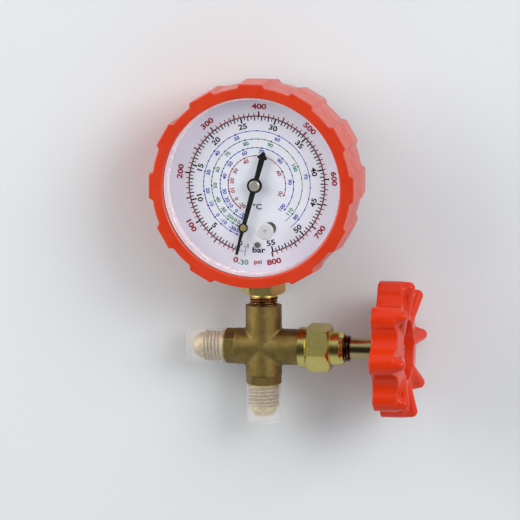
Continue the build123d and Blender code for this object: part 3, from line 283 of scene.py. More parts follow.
grain, grain_in, grain_out = new_group(
    "grain",
    [("Per Metre", FLOAT, 4000.0), ("Depth", FLOAT, 20 * MICRON), ("Rough Low", FLOAT, 0.3),
     ("Rough High", FLOAT, 0.5)],
    [("Roughness", FLOAT), ("Normal", VECTOR)])
speckle = noise_on(grain, grain_in["Per Metre"], 4)
cloud = noise_on(grain, math_node(grain, "MULTIPLY", grain_in["Per Metre"], CLOUD_SHARE), 3)
gloss = map_range(grain, cloud.outputs["Fac"], NOISE_SPAN, (grain_in["Rough Low"], grain_in["Rough High"]))
relief = grain.nodes.new("ShaderNodeBump")
grain.links.new(speckle.outputs["Fac"], relief.inputs["Height"])
grain.links.new(grain_in["Depth"], relief.inputs["Distance"])
grain.links.new(gloss, grain_out["Roughness"])
grain.links.new(relief.outputs["Normal"], grain_out["Normal"])
print("grain nodes:", len(grain.nodes))

# %% [markdown]
# The second effect is mottle.  No real surface has one flat colour, so two near colours
# are mixed by a soft noise.

# %% Mottle
MOTTLE_SPAN = (0.35, 0.65)

mottle, mottle_in, mottle_out = new_group(
    "mottle",
    [("Color A", COLOR, (1, 1, 1, 1)), ("Color B", COLOR, (0.5, 0.5, 0.5, 1)), ("Per Metre", FLOAT, 150.0)],
    [("Color", COLOR)])
patch = noise_on(mottle, mottle_in["Per Metre"], 5)
patch.inputs["Roughness"].default_value = 0.6
blend = mottle.nodes.new("ShaderNodeMix")
blend.data_type = "RGBA"
mottle.links.new(map_range(mottle, patch.outputs["Fac"], MOTTLE_SPAN), blend.inputs["Factor"])
mottle.links.new(mottle_in["Color A"], blend.inputs["A"])
mottle.links.new(mottle_in["Color B"], blend.inputs["B"])
mottle.links.new(blend.outputs["Result"], mottle_out["Color"])
print("node groups:", [group.name for group in bpy.data.node_groups])

# %% [markdown]
# One helper makes a finish from those groups.  Patches and grain are counted per metre, and
# the grain's depth is in microns.  Plain numbers that are the same all over, such as how
# metallic or how clear the stuff is, go straight on the shader.

# %% A finish from two effects


def finish(name, color_a, color_b, patches, grain_size, depth, rough, **plain):
    made = bpy.data.materials.new(name)
    made.use_nodes = True
    tree = made.node_tree
    shader = tree.nodes["Principled BSDF"]
    colors = tree.nodes.new("ShaderNodeGroup")
    colors.node_tree = mottle
    colors.inputs["Color A"].default_value = (*color_a, 1)
    colors.inputs["Color B"].default_value = (*color_b, 1)
    colors.inputs["Per Metre"].default_value = patches
    surface = tree.nodes.new("ShaderNodeGroup")
    surface.node_tree = grain
    surface.inputs["Per Metre"].default_value = grain_size
    surface.inputs["Depth"].default_value = depth * MICRON
    surface.inputs["Rough Low"].default_value, surface.inputs["Rough High"].default_value = rough
    tree.links.new(colors.outputs["Color"], shader.inputs["Base Color"])
    tree.links.new(surface.outputs["Roughness"], shader.inputs["Roughness"])
    tree.links.new(surface.outputs["Normal"], shader.inputs["Normal"])
    for socket, value in plain.items():
        shader.inputs[socket.replace("_", " ")].default_value = value
    return made


# %% [markdown]
# The metals differ mostly in gloss.  The body is cast, so its brass is dark and grainy.
# The valve's hexagon and the gauge's are turned and milled from bar: bright, yellow and
# nearly smooth.  The stem is plated and has the sharpest reflections.  The movement's
# parts hide behind the dial and have plain brass, bronze and steel.

# %% Metals
cast_brass = finish(
    "cast_brass", (0.17, 0.118, 0.034), (0.25, 0.178, 0.060), patches=260, grain_size=5200, depth=120,
    rough=(0.36, 0.52), Metallic=1.0)
machined_brass = finish(
    "machined_brass", (0.50, 0.42, 0.12), (0.56, 0.48, 0.16), patches=90, grain_size=9000, depth=1,
    rough=(0.18, 0.28), Metallic=1.0)
socket_brass = finish(
    "socket_brass", (0.66, 0.58, 0.20), (0.72, 0.64, 0.25), patches=90, grain_size=9000, depth=10,
    rough=(0.32, 0.42), Metallic=1.0)
stem_plating = finish(
    "stem_plating", (0.34, 0.26, 0.12), (0.40, 0.32, 0.16), patches=120, grain_size=9000, depth=6,
    rough=(0.10, 0.18), Metallic=1.0)
bright_steel = finish(
    "bright_steel", (0.70, 0.70, 0.71), (0.62, 0.62, 0.64), patches=300, grain_size=9000, depth=10,
    rough=(0.14, 0.26), Metallic=1.0)
cap_nickel = finish(
    "cap_nickel", (0.62, 0.58, 0.50), (0.50, 0.47, 0.40), patches=500, grain_size=9000, depth=20,
    rough=(0.30, 0.42), Metallic=1.0)
plain_steel = finish(
    "plain_steel", (0.50, 0.49, 0.47), (0.42, 0.41, 0.40), patches=300, grain_size=9000, depth=10,
    rough=(0.30, 0.45), Metallic=1.0)
dull_nickel = finish(
    "dull_nickel", (0.30, 0.28, 0.22), (0.24, 0.22, 0.17), patches=900, grain_size=9000, depth=20,
    rough=(0.30, 0.45), Metallic=1.0)
movement_brass = finish(
    "movement_brass", (0.62, 0.47, 0.18), (0.55, 0.41, 0.16), patches=200, grain_size=9000, depth=10,
    rough=(0.25, 0.40), Metallic=1.0)
tube_bronze = finish(
    "tube_bronze", (0.55, 0.33, 0.16), (0.48, 0.28, 0.13), patches=200, grain_size=7000, depth=10,
    rough=(0.25, 0.40), Metallic=1.0)
print("metals:", len(bpy.data.materials))

# %% [markdown]
# The boot is soft rubber with a satin skin, and the handwheel is hard glossy plastic.  Both
# are nearly the same orange red.  A weak coat gives the wheel its small sharp highlights
# without turning its whole body shiny.

# %% Rubber, plastic and seals
seal_black = finish(
    "seal_black", (0.012, 0.012, 0.012), (0.02, 0.02, 0.02), patches=200, grain_size=5000, depth=20,
    rough=(0.5, 0.7))
seal_white = finish(
    "seal_white", (0.80, 0.80, 0.76), (0.74, 0.74, 0.70), patches=200, grain_size=5000, depth=10,
    rough=(0.4, 0.5))
case_black = finish(
    "case_black", (0.015, 0.015, 0.016), (0.022, 0.022, 0.023), patches=120, grain_size=6000, depth=30,
    rough=(0.35, 0.5))
wheel_red = finish(
    "wheel_red", (0.60, 0.026, 0.003), (0.64, 0.034, 0.005), patches=60, grain_size=1200, depth=12,
    rough=(0.30, 0.38), Specular_IOR_Level=0.1, Coat_Weight=0.3, Coat_Roughness=0.06)
boot_red = finish(
    "boot_red", (0.57, 0.030, 0.003), (0.61, 0.038, 0.005), patches=45, grain_size=2600, depth=20,
    rough=(0.30, 0.42), Coat_Weight=0.25, Coat_Roughness=0.25)
pointer_black = finish(
    "pointer_black", (0.003, 0.003, 0.003), (0.005, 0.005, 0.005), patches=200, grain_size=7000, depth=10,
    rough=(0.5, 0.6), Specular_IOR_Level=0.2)
plug_white = finish(
    "plug_white", (0.58, 0.58, 0.59), (0.54, 0.54, 0.55), patches=150, grain_size=4000, depth=4,
    rough=(0.25, 0.35), Subsurface_Weight=0.2, Subsurface_Scale=0.001)
print("materials so far:", len(bpy.data.materials))

# %% [markdown]
# Some pieces change colour along their length.  Red-brown sealant fills the pipe thread
# under the gauge, the ends of the cast arms are machined bright, and the stem's thread is
# laid darker.  Each could be a material on its own faces, but the borders would be
# hard, so a second colour is laid on the finish between two places on one axis.  A noise
# leaves it thinner in patches.

# %% Stains and machined ends
STAIN_PATCHES = 900
STAIN_SPAN = (0.35, 0.60)
STAIN_THINNEST = 0.55


def stain(base, axis, start, end, color, blur):
    """Lays a second colour on a finish between two places on one axis, in millimetres."""
    tree = base.node_tree
    shader = tree.nodes["Principled BSDF"]
    under = shader.inputs["Base Color"].links[0].from_socket
    where = tree.nodes.new("ShaderNodeTexCoord")
    split = tree.nodes.new("ShaderNodeSeparateXYZ")
    tree.links.new(where.outputs["Object"], split.inputs[0])
    past_start = map_range(tree, split.outputs[axis], ((start - blur) * MM, (start + blur) * MM))
    before_end = map_range(tree, split.outputs[axis], ((end + blur) * MM, (end - blur) * MM))
    uneven = map_range(
        tree, noise_on(tree, STAIN_PATCHES, 2).outputs["Fac"], STAIN_SPAN, (STAIN_THINNEST, 1.0))
    amount = math_node(tree, "MULTIPLY", math_node(tree, "MULTIPLY", past_start, before_end), uneven)
    over = tree.nodes.new("ShaderNodeMix")
    over.data_type = "RGBA"
    over.inputs["B"].default_value = (*color, 1)
    tree.links.new(amount, over.inputs["Factor"])
    tree.links.new(under, over.inputs["A"])
    tree.links.new(over.outputs["Result"], shader.inputs["Base Color"])


SEALANT, FRESH_CUT, STEM_THREAD_DARK = (0.20, 0.045, 0.018), (0.60, 0.50, 0.27), (0.035, 0.026, 0.018)
stain(socket_brass, "Z", 39.0, 43.9, SEALANT, 0.2)
stain(cast_brass, "X", -40.0, -14.0, FRESH_CUT, 0.1)
stain(cast_brass, "Z", -10.0, 11.6, FRESH_CUT, 0.1)
# The stem's thread between the bonnet and the wheel is laid darker.
stain(stem_plating, "X", 26.0, 32.6, STEM_THREAD_DARK, 0.3)
print("nodes in the cast brass:", len(cast_brass.node_tree.nodes))

# %% [markdown]
# The lens and the two port caps are clear plastics.  Real glass bends light and needs many
# bounces to look right, and the print behind it would show doubled.  These walls are thin,
# so they hardly bend it here: an alpha lets most of what lies behind through, and a glossy
# coat draws the highlights.  The caps are milky, so they are partly solid.  The lens's
# skirt is seen through its own wall.  Its finish is painted light: a pale base with a painted
# pink reflection of the boot, and a weak glow painted where the boot's lip shades it.

# %% Clear plastics


def clear_plastic(name, color, rough, solid, ior, body):
    """Thin clear wall: solid is its milky share, and body its alpha."""
    return finish(
        name, color, color, patches=60, grain_size=1500, depth=0, rough=rough, IOR=ior, Alpha=body,
        Transmission_Weight=1.0 - solid, Coat_Weight=1.0, Coat_Roughness=0.03)


lens_clear = clear_plastic("lens_clear", (0.98, 0.985, 0.99), (0.0, 0.01), 0.0, 1.01, 0.22)
cap_milky = clear_plastic("cap_milky", (0.98, 0.94, 0.91), (0.08, 0.14), 0.40, 1.12, 0.29)
# Painted light: the skirt's pink base is a painted reflection of the boot, and its emission is a painted
# glow where the boot's lip shades it.
lens_skirt_painted_light = finish(
    "lens_skirt_painted_light", (0.80, 0.70, 0.72), (0.74, 0.64, 0.67), patches=60, grain_size=3000, depth=0,
    rough=(0.20, 0.30), Transmission_Weight=0.15, IOR=1.49, Emission_Color=(0.88, 0.75, 0.78, 1),
    Emission_Strength=0.2)
print("clear plastics:", lens_clear.name, cap_milky.name, lens_skirt_painted_light.name)

# %% [markdown]
# The dial is a tin disc with white enamel, a little bluer in the middle.  Towards the rim
# it turns darker and pinker, a painted pink reflection of the boot.  A Color Ramp holds the
# three tones and is read by how far each point lies from the arbor.  A Mapping node moves
# the zero of the Object coordinates to the dial's middle first.

# %% Dial enamel
DIAL_R = 33 * MM
# The rim tone is a painted pink reflection of the boot on the enamel.
MIDDLE_TONE, RING_TONE, RIM_PAINTED_BOOT_LIGHT = (0.67, 0.70, 0.76, 1), (0.68, 0.69, 0.75, 1), (0.62, 0.59, 0.68, 1)
RING_PLACE = 0.6

dial_white = finish(
    "dial_white", (0.80, 0.79, 0.84), (0.77, 0.76, 0.82), patches=40, grain_size=6000, depth=5,
    rough=(0.30, 0.40))
dial_tree = dial_white.node_tree
dial_place = dial_tree.nodes.new("ShaderNodeTexCoord")
dial_shift = dial_tree.nodes.new("ShaderNodeMapping")
dial_shift.inputs["Location"].default_value = -DIAL_CENTRE
from_arbor = dial_tree.nodes.new("ShaderNodeVectorMath")
from_arbor.operation = "LENGTH"
ramp = dial_tree.nodes.new("ShaderNodeValToRGB")
tones = ramp.color_ramp.elements
tones[0].color, tones[1].color = MIDDLE_TONE, RIM_PAINTED_BOOT_LIGHT
tones.new(RING_PLACE).color = RING_TONE
to_unit = math_node(dial_tree, "DIVIDE", from_arbor.outputs["Value"], DIAL_R)
dial_tree.links.new(dial_place.outputs["Object"], dial_shift.inputs["Vector"])
dial_tree.links.new(dial_shift.outputs["Vector"], from_arbor.inputs[0])
dial_tree.links.new(to_unit, ramp.inputs["Fac"])
dial_tree.links.new(ramp.outputs["Color"], dial_tree.nodes["Principled BSDF"].inputs["Base Color"])
print("tones on the dial:", len(tones))

# %% [markdown]
# A CAD node that keeps its shape only needs its finish, so a table says which finish is
# worn by which nodes.  A node that a finer piece stands in for has one too, in case that
# piece is ever left out.  The last line prints any node that was forgotten.

# %% Finishes on the CAD nodes
WORN_BY = {
    cast_brass: ("manifold_body",),
    machined_brass: ("valve_bonnet", "restrictor", "seat_plunger"),
    socket_brass: ("gauge_socket",),
    stem_plating: ("valve_stem",),
    bright_steel: ("handwheel_screw",),
    cap_nickel: ("pointer_cap",),
    plain_steel: ("handwheel_washer", "case_screws", "movement_screws", "pinion_arbor"),
    movement_brass: (
        "movement_back_plate", "movement_front_plate", "movement_pillars", "sector_gear", "link",
        "tube_tip", "dial_post", "pointer_adjuster"),
    dull_nickel: ("dial_screw", "zero_screw"),
    tube_bronze: ("bourdon_tube", "hairspring"),
    seal_black: ("stem_o_rings", "lens_gasket"),
    seal_white: ("seat_seal",),
    case_black: ("gauge_case",),
    wheel_red: ("handwheel",),
    boot_red: ("protective_boot",),
    pointer_black: ("pointer",),
    plug_white: ("lens_plug",),
    lens_clear: ("lens",),
    cap_milky: ("left_port_cap", "bottom_port_cap"),
    dial_white: ("dial_plate",),
}
for made, names in WORN_BY.items():
    for name in names:
        nodes[name].data.materials.clear()
        nodes[name].data.materials.append(made)
bare = set(nodes) - {name for names in WORN_BY.values() for name in names}
print("nodes with no finish:", sorted(bare))

# %% [markdown]
# The next pieces are worked on copies of CAD nodes.  A copy's loose triangles are merged
# first, and the normals that came with them are cleared, because they no longer fit once
# the shape changes.  These helpers are the everyday moves: select one piece, copy and merge
# a node, apply a modifier, and round a piece.

# %% Everyday moves
WELD = 2 * MICRON
FINE_WELD = 1 * MICRON
SMOOTH_PULL = 0.5


def take(piece):
    """Selects one piece and nothing else."""
    bpy.ops.object.select_all(action="DESELECT")
    piece.select_set(True)
    bpy.context.view_layer.objects.active = piece
    return piece


def copy_node(node, name):
    piece = nodes[node].copy()
    piece.data = nodes[node].data.copy()
    piece.name = name
    piece.parent = None
    piece.matrix_world = Matrix.Identity(4)
    bpy.context.collection.objects.link(piece)
    take(piece)
    bpy.ops.object.mode_set(mode="EDIT")
    bpy.ops.mesh.select_all(action="SELECT")
    bpy.ops.mesh.remove_doubles(threshold=WELD)
    bpy.ops.object.mode_set(mode="OBJECT")
    bpy.ops.mesh.customdata_custom_splitnormals_clear()
    return piece


def apply(piece, kind, **settings):
    take(piece)
    modifier = piece.modifiers.new(kind.lower(), kind)
    for key, value in settings.items():
        setattr(modifier, key, value)
    bpy.ops.object.modifier_apply(modifier=modifier.name)


def soften(piece, voxel, passes):
    """Remeshes a piece evenly and rounds its edges by about a voxel."""
    take(piece)
    piece.data.remesh_voxel_size = voxel
    bpy.ops.object.voxel_remesh()
    apply(piece, "SMOOTH", factor=SMOOTH_PULL, iterations=passes)
    bpy.ops.object.shade_smooth()
    print(piece.name, "triangles:", sum(len(p.vertices) - 2 for p in piece.data.polygons))


# %% [markdown]
# The boot, the handwheel and the cast body come out of moulds, so their edges are round.
# A Bevel modifier fails where many small faces meet, as on the wheel's ridges.  A voxel
# remesh gives an even mesh, whatever the shape, and a few smoothing passes round it.  The
# boot is the biggest piece, so it is thinned out again afterwards.

# %% Moulded and cast pieces
BOOT_VOXEL, WHEEL_VOXEL, BODY_VOXEL = 0.30 * MM, 0.33 * MM, 0.25 * MM
BOOT_KEPT = 0.35

boot = copy_node("protective_boot", "rubber_boot")
soften(boot, BOOT_VOXEL, 12)
apply(boot, "DECIMATE", ratio=BOOT_KEPT)
bpy.ops.object.shade_smooth()
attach(boot, "base")
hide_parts("protective_boot")

wheel = copy_node("handwheel", "star_handwheel")
soften(wheel, WHEEL_VOXEL, 7)
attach(wheel, "handwheel_and_stem")
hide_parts("handwheel")

body = copy_node("manifold_body", "cast_body")
soften(body, BODY_VOXEL, 2)

# %% [markdown]
# The two port caps are short tubes, closed at one end, pushed over the flare threads.
# Their shape is plain, so merged copies shaded smooth across small angles are enough.

# %% Port caps
SMALL_ANGLE = math.radians(30)

for node, name, carrier in (
        ("left_port_cap", "clear_cap_left", "left_port_cap"),
        ("bottom_port_cap", "clear_cap_bottom", "bottom_port_cap")):
    cap = copy_node(node, name)
    bpy.ops.object.shade_smooth_by_angle(angle=SMALL_ANGLE)
    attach(cap, carrier)
    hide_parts(node)
    print(name, "rides", carrier)

# %% [markdown]
# The lens is a shallow acrylic dish that stands over the dial on a thin skirt, with a rim
# that the boot's lip holds down.  On a clear piece every facet shows, so it is turned
# afresh: its outline is drawn once, from the middle of the face to the skirt's foot and
# back inside, and the Screw modifier spins it.  Both corners that light runs over are
# small rounds.  Depths are counted from the dial, in millimetres.

# %% Outline of the lens
LENS_FACE, LENS_INSIDE, LENS_FOOT = 9.30, 7.30, 0.10
RIM_TOP = 8.10
FACE_R, RIM_R, SKIRT_R, SKIRT_INNER_R = 32.10, 33.70, 32.45, 31.75
FRONT_ROUND = (0.50, 0.55)
INNER_ROUND = (0.80, 0.80)


def quarter_round(depth, radius, reach):
    """Four points round a corner, from the face at depth to the side at radius."""
    down, out = reach
    turns = [math.radians(angle) for angle in (0, 30, 60, 90)]
    return [(depth - down * (1 - math.cos(turn)), radius - out * (1 - math.sin(turn))) for turn in turns]


LENS_PROFILE = (
    (LENS_FACE, 0.0), *quarter_round(LENS_FACE, FACE_R, FRONT_ROUND), (RIM_TOP, FACE_R), (RIM_TOP, RIM_R),
    (LENS_INSIDE, RIM_R), (LENS_INSIDE, SKIRT_R), (LENS_FOOT, SKIRT_R), (LENS_FOOT, SKIRT_INNER_R),
    *reversed(quarter_round(LENS_INSIDE, SKIRT_INNER_R, INNER_ROUND)), (LENS_INSIDE, 0.0))
profile = bpy.data.meshes.new("clear_lens")
profile.from_pydata(
    [(radius * MM, 0, depth * MM) for depth, radius in LENS_PROFILE],
    [(i, i + 1) for i in range(len(LENS_PROFILE) - 1)], [])
print("points in the lens's outline:", len(LENS_PROFILE))

# %% [markdown]
# The spun dish gets a hole for the white plug, cut by a boolean.  Its skirt takes a
# material of its own, found by how deep each face lies, before the lens is stood up in
# front of the dial.

# %% Turn and drill the lens
LENS_STEPS = 160
SKIRT_TOP = 6.6 * MM
PLUG_PLACE = Vector((5.2, -15.6, 8.0)) * MM
PLUG_HOLE_R, PLUG_HOLE_DEPTH = 2.05 * MM, 6 * MM

lens = bpy.data.objects.new("clear_lens", profile)
bpy.context.collection.objects.link(lens)
apply(lens, "SCREW", axis="Z", angle=math.tau, steps=LENS_STEPS, render_steps=LENS_STEPS,
      use_merge_vertices=True, merge_threshold=FINE_WELD, use_normal_calculate=True)
bpy.ops.mesh.primitive_cylinder_add(
    vertices=64, radius=PLUG_HOLE_R, depth=PLUG_HOLE_DEPTH, location=PLUG_PLACE)
plug_hole = bpy.context.object
plug_hole.data.transform(plug_hole.matrix_world)
plug_hole.matrix_world = Matrix.Identity(4)
apply(lens, "BOOLEAN", object=plug_hole, operation="DIFFERENCE", solver="EXACT")
bpy.data.objects.remove(plug_hole)
take(lens)
bpy.ops.object.shade_smooth_by_angle(angle=SMALL_ANGLE)
lens.data.materials.append(lens_clear)
# The skirt's faces wear the painted-light finish: painted pink reflection and painted glow.
lens.data.materials.append(lens_skirt_painted_light)
for face in lens.data.polygons:
    face.material_index = 1 if face.center.z < SKIRT_TOP else 0
lens.data.transform(face_reader(0))
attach(lens, "base")
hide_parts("lens")
print("lens faces:", len(lens.data.polygons))

# %% [markdown]
# Screw threads could be faked with a striped bump, but their outline would stay straight.
# Here they are cut as a machinist cuts them: a V-shaped tool follows a helix.  The Screw
# modifier sweeps a triangle round the axis and up by one pitch a turn, its open ends are
# filled, and a boolean takes the swept shape away from the piece.

# %% Thread cutting
DEPTH_SHARE = 0.61
SHARP_SHARE = 0.58
TOOL_OVER = 0.1 * MM
THREAD_STEPS = 40
THREAD_ANGLE = math.radians(35)


def thread_tool(radius, pitch, turns, place):
    """Helical cutter whose first turn starts at place's origin and climbs along its Z."""
    deep = DEPTH_SHARE * pitch
    half = SHARP_SHARE * (deep + TOOL_OVER)
    corners = ((radius - deep, 0), (radius + TOOL_OVER, half), (radius + TOOL_OVER, -half))
    bpy.ops.mesh.primitive_circle_add(vertices=3)
    tool = bpy.context.object
    for vertex, (out, height) in zip(tool.data.vertices, corners):
        vertex.co = (out, 0, height)
    apply(
        tool, "SCREW", axis="Z", screw_offset=pitch, iterations=turns, steps=THREAD_STEPS,
        render_steps=THREAD_STEPS, use_normal_calculate=True, use_smooth_shade=False)
    bpy.ops.object.mode_set(mode="EDIT")
    bpy.ops.mesh.select_all(action="SELECT")
    bpy.ops.mesh.remove_doubles(threshold=FINE_WELD)
    bpy.ops.mesh.fill_holes(sides=4)
    bpy.ops.mesh.select_all(action="SELECT")
    bpy.ops.mesh.normals_make_consistent(inside=False)
    bpy.ops.object.mode_set(mode="OBJECT")
    tool.data.transform(place)
    return tool


def cut_thread(piece, *tool):
    """Cuts a thread into a piece; tool holds what thread_tool asks for."""
    cutter = thread_tool(*tool)
    apply(piece, "BOOLEAN", object=cutter, operation="DIFFERENCE", solver="EXACT")
    bpy.data.objects.remove(cutter)
    take(piece)
    bpy.ops.object.shade_smooth_by_angle(angle=THREAD_ANGLE)
    print(piece.name, "faces:", len(piece.data.polygons))


def from_cross(x, z, turn=0.0, about="Y"):
    """Place at x and z millimetres from the cross, turned by some degrees about one axis."""
    spot = Matrix.Translation(CROSS + Vector((x, 0, z)) * MM)
    return spot @ Matrix.Rotation(math.radians(turn), 4, about)


# %% [markdown]
# The two ports carry the flare thread that a refrigerant hose screws on, 7/16 inch with 20
# turns to the inch.

# %% Flare threads
FLARE_R, FLARE_PITCH, FLARE_TURNS = 5.556 * MM, 1.27 * MM, 6

cut_thread(body, FLARE_R, FLARE_PITCH, FLARE_TURNS, from_cross(-15.0, 0, -90))
cut_thread(body, FLARE_R, FLARE_PITCH, FLARE_TURNS, from_cross(0, -14.8, 180, "X"))
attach(body, "base")
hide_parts("manifold_body")

# %% [markdown]
# The gauge's socket ends in a 1/8 inch pipe thread, and a few of its turns show between the
# hexagon and the body.  The stem has a metric thread just outside the valve's nose.

# %% Pipe thread and stem thread
PIPE_R, PIPE_PITCH, PIPE_TURNS = 5.09 * MM, 0.94 * MM, 4
STEM_R, STEM_PITCH, STEM_TURNS = 4.9 * MM, 1.0 * MM, 5

socket = copy_node("gauge_socket", "threaded_socket")
cut_thread(socket, PIPE_R, PIPE_PITCH, PIPE_TURNS, from_cross(0, 14.2))
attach(socket, "base")
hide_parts("gauge_socket")

stem = copy_node("valve_stem", "threaded_stem")
cut_thread(stem, STEM_R, STEM_PITCH, STEM_TURNS, from_cross(28.2, 0, 90))
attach(stem, "handwheel_and_stem")
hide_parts("valve_stem")

# %% [markdown]
# The dial is printed in four inks.  A picture on the enamel would blur close up and would
# have to be read from a file, so each mark is a thin piece of its own.  It is drawn flat in
# the dial's own plane, in millimetres from the arbor, with a hair of thickness.  Rows of
# equal marks are one mark and an Array that turns round the arbor.

# %% Marks and arcs
INK = 0.03 * MM
ARC_STEP = 2.5
inks = {"red": [], "black": [], "green": [], "blue": []}


def settle(piece):
    """Puts a piece's place, turn and size into its mesh."""
    take(piece)
    bpy.ops.object.transform_apply(location=True, rotation=True, scale=True)
    return piece


def ticks(ink, inner, outer, width, first, step, count):
    """Row of radial marks from the angle first on, in degrees clockwise from the top."""
    bpy.ops.mesh.primitive_cube_add(
        size=1, location=(0, (inner + outer) / 2 * MM, 0), scale=(width * MM, (outer - inner) * MM, INK))
    mark = settle(bpy.context.object)
    mark.rotation_euler.z = math.radians(-first)
    settle(mark)
    bpy.ops.object.empty_add(rotation=(0, 0, math.radians(-step)))
    turner = bpy.context.object
    apply(
        mark, "ARRAY", use_relative_offset=False, use_object_offset=True, offset_object=turner, count=count)
    bpy.data.objects.remove(turner)
    inks[ink].append(mark)


def arc(ink, radius, width, start, end):
    """Band from start to end, in degrees clockwise from the top."""
    bpy.ops.mesh.primitive_plane_add(size=1)
    band = bpy.context.object
    for vertex in band.data.vertices:
        across, along = vertex.co.x * width * MM, vertex.co.y * INK
        vertex.co = (0, radius * MM + across, along)
    band.rotation_euler.z = math.radians(-start)
    settle(band)
    bpy.ops.object.mode_set(mode="EDIT")
    bpy.ops.mesh.select_all(action="SELECT")
    steps = max(8, int(abs(end - start) / ARC_STEP))
    bpy.ops.mesh.spin(steps=steps, angle=math.radians(end - start), center=(0, 0, 0), axis=(0, 0, 1))
    bpy.ops.mesh.select_all(action="SELECT")
    bpy.ops.mesh.normals_make_consistent(inside=False)
    bpy.ops.object.mode_set(mode="OBJECT")
    inks[ink].append(band)


def dots(ink, radius, size, angles):
    """Small discs of radius size on a ring."""
    for angle in angles:
        turn = math.radians(angle)
        bpy.ops.mesh.primitive_cylinder_add(
            vertices=10, radius=size * MM, depth=INK,
            location=(radius * MM * math.sin(turn), radius * MM * math.cos(turn), 0))
        inks[ink].append(settle(bpy.context.object))


print("inks:", list(inks))

# %% [markdown]
# Words are Text objects turned into mesh.  Blender's own letters are narrower than the
# dial's, so each word is stretched sideways and made bolder, and then brought to its
# height, which differs from the font's size.

# %% Words and numbers
LEVEL_LIMIT = 95


def write(ink, words, place, height, turn=0.0, widen=1.0, bold=0.0):
    """One word with its middle at place; bold is how much its strokes swell."""
    bpy.ops.object.text_add()
    text = bpy.context.object
    text.data.body = words
    text.data.align_x = "CENTER"
    text.data.align_y = "CENTER"
    text.data.resolution_u = 3
    text.data.extrude = INK / 2
    text.data.offset = bold
    text.data.size = 1.0
    take(text)
    bpy.ops.object.convert(target="MESH")
    low = min(vertex.co.y for vertex in text.data.vertices)
    high = max(vertex.co.y for vertex in text.data.vertices)
    left = min(vertex.co.x for vertex in text.data.vertices)
    wide = max(vertex.co.x for vertex in text.data.vertices)
    size = height * MM / (high - low)
    for vertex in text.data.vertices:
        vertex.co.x = (vertex.co.x - (left + wide) / 2) * size * widen
        vertex.co.y = (vertex.co.y - (low + high) / 2) * size
    text.rotation_euler.z = math.radians(-turn)
    text.location = (place[0] * MM, place[1] * MM, 0)
    inks[ink].append(settle(text))


def numbers(ink, radius, height, labels, widen, bold):
    """Numbers on a ring, with their heads out in its upper half and in in its lower half."""
    for words, angle in labels:
        turn = math.radians(angle)
        upright = angle if abs(angle) <= LEVEL_LIMIT else angle - math.copysign(180, angle)
        write(ink, words, (radius * math.sin(turn), radius * math.cos(turn)), height, upright, widen, bold)


# %% [markdown]
# The outer scale counts pressure twice.  The red one runs to 800 psi outside the ring, and
# the black one to 55 bar inside it.  Both start at the same zero, and a short green scale
# goes one bar below it, for a vacuum.

# %% Pressure scale
PSI_IN_A_BAR = 14.5038
PSI_END = 800
ZERO_ANGLE, FULL_ANGLE = -164.0, 167.4
PSI_STEP = (FULL_ANGLE - ZERO_ANGLE) / PSI_END
BAR_STEP = PSI_STEP * PSI_IN_A_BAR
VACUUM_ANGLE = ZERO_ANGLE - BAR_STEP

arc("red", 25.05, 0.24, ZERO_ANGLE, FULL_ANGLE)
arc("black", 24.80, 0.20, ZERO_ANGLE, FULL_ANGLE)
ticks("red", 25.0, 26.1, 0.36, ZERO_ANGLE, 10 * PSI_STEP, 81)
ticks("red", 25.0, 26.6, 0.52, ZERO_ANGLE, 50 * PSI_STEP, 17)
ticks("red", 24.9, 26.7, 0.56, ZERO_ANGLE, 100 * PSI_STEP, 9)
ticks("black", 23.7, 24.9, 0.36, ZERO_ANGLE, 0.5 * BAR_STEP, 111)
ticks("black", 23.3, 24.9, 0.42, ZERO_ANGLE, BAR_STEP, 56)
ticks("black", 22.8, 24.85, 0.56, ZERO_ANGLE, 5 * BAR_STEP, 12)
psi_labels = [(str(value), ZERO_ANGLE + value * PSI_STEP) for value in range(0, 801, 100)]
bar_labels = [(str(value), ZERO_ANGLE + value * BAR_STEP) for value in range(5, 56, 5)]
numbers("red", 28.5, 2.1, psi_labels, 1.3, 0.035)
numbers("black", 21.6, 2.0, bar_labels, 1.25, 0.03)
arc("green", 24.9, 0.15, VACUUM_ANGLE, ZERO_ANGLE)
ticks("green", 23.3, 26.6, 0.22, VACUUM_ANGLE, 1, 1)
write("green", "-30", (-5.2, -28.3), 1.9, 0, 1.2, 0.02)
write("green", "-1", (-3.9, -22.3), 1.6, 0, 1.1, 0.03)
write("black", "0", (-6.0, -21.3), 1.8, 0, 1.1, 0.03)
write("black", "bar", (0.7, -23.7), 2.1, 0, 1.3, 0.03)
write("red", "psi", (0.3, -28.3), 2.0, 0, 1.25, 0.03)
write("black", "°C", (0.1, -7.9), 2.1, 0, 1.2, 0.02)
print("pressure marks:", sum(len(marks) for marks in inks.values()))

# %% [markdown]
# The four inner rings read the boiling temperature of four refrigerants at the pressure
# shown.  Boiling points don't rise evenly with pressure, so each number has its own angle.
# A bigger dot marks each number, and where there is room three small ones lie between two.
# Each row holds the ink, the ring's radius, its numbers' radius, its end and its numbers.

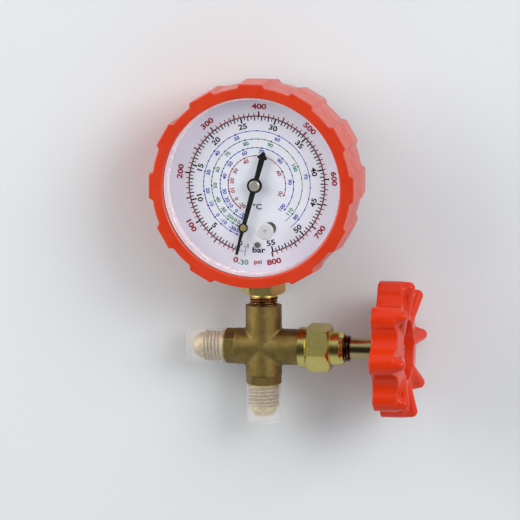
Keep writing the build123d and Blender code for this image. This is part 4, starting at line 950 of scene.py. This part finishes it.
# %% Temperature rings
RINGS = (
    ("blue", 19.6, 18.25, 141, (
        ("-50", -157.7), ("-30", -150.4), ("-10", -137.7), ("0", -128), ("10", -113.6), ("20", -97.8),
        ("30", -76.8), ("40", -52.6), ("50", -23.7), ("60", 24.5), ("70", 79.5), ("80", 129))),
    ("green", 16.65, 15.3, 141.8, (
        ("0", -154.3), ("10", -147.5), ("20", -139.5), ("30", -127.4), ("40", -111.6), ("50", -92),
        ("60", -69.9), ("70", -44.6), ("80", -15), ("90", 18.8), ("100", 65.4), ("110", 128.3))),
    ("blue", 13.5, 12.2, 132, (
        ("-20", -156), ("0", -141.7), ("10", -128.6), ("20", -117.3), ("30", -102.4), ("40", -76.7),
        ("50", -53.2), ("60", -21.6), ("70", 8), ("80", 44.3), ("90", 84.4), ("100", 130.9))),
    ("red", 10.55, 9.2, 111.5, (
        ("-20", -144.3), ("0", -124.9), ("10", -104.4), ("20", -82.4), ("30", -58.5), ("45", -26),
        ("60", 61.9), ("70", 110.3))),
)
RING_WIDTH, RING_LEAD, ROOMY = 0.24, 2, 14
NUMBER_HEIGHT, BIG_DOT, SMALL_DOT = 1.4, 0.38, 0.28

for ink, radius, label_radius, end, labels in RINGS:
    angles = [angle for _, angle in labels]
    arc(ink, radius, RING_WIDTH, angles[0] - RING_LEAD, end)
    numbers(ink, label_radius, NUMBER_HEIGHT, labels, 1.15, 0.03)
    dots(ink, radius, BIG_DOT, angles)
    roomy = [(one, two) for one, two in zip(angles, angles[1:]) if two - one > ROOMY]
    dots(ink, radius, SMALL_DOT, [one + (two - one) * part / 4 for one, two in roomy for part in (1, 2, 3)])
print("marks on the dial:", sum(len(marks) for marks in inks.values()))

# %% [markdown]
# Printing ink is nearly matt and lies flat on the enamel.  The marks of one ink are joined
# to one piece, moved to where the dial's printing sits, a little off the arbor, and stood
# up on the dial so that they lie in its face and a hair proud of it.

# %% Join the inks
PRINT_SHIFT = Matrix.Translation((0.4 * MM, 0.1 * MM, 0))
PRINT_LIFT = 0.2 * INK
LIGHTER = 1.15
INK_COLORS = {
    "red": (0.26, 0.008, 0.025), "black": (0.004, 0.004, 0.006), "green": (0.02, 0.17, 0.08),
    "blue": (0.020, 0.035, 0.34)}
for ink, marks in inks.items():
    bpy.ops.object.select_all(action="DESELECT")
    for mark in marks:
        mark.select_set(True)
    bpy.context.view_layer.objects.active = marks[0]
    bpy.ops.object.join()
    printed = bpy.context.object
    printed.name = "dial_print_" + ink
    printed.data.transform(face_reader(PRINT_LIFT) @ PRINT_SHIFT)
    lighter = tuple(LIGHTER * part for part in INK_COLORS[ink])
    printed.data.materials.clear()
    printed.data.materials.append(finish(
        "ink_" + ink, INK_COLORS[ink], lighter, patches=900, grain_size=9000, depth=3, rough=(0.4, 0.5),
        Specular_IOR_Level=0.2))
    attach(printed, "base")
    print(printed.name, "faces:", len(printed.data.polygons))
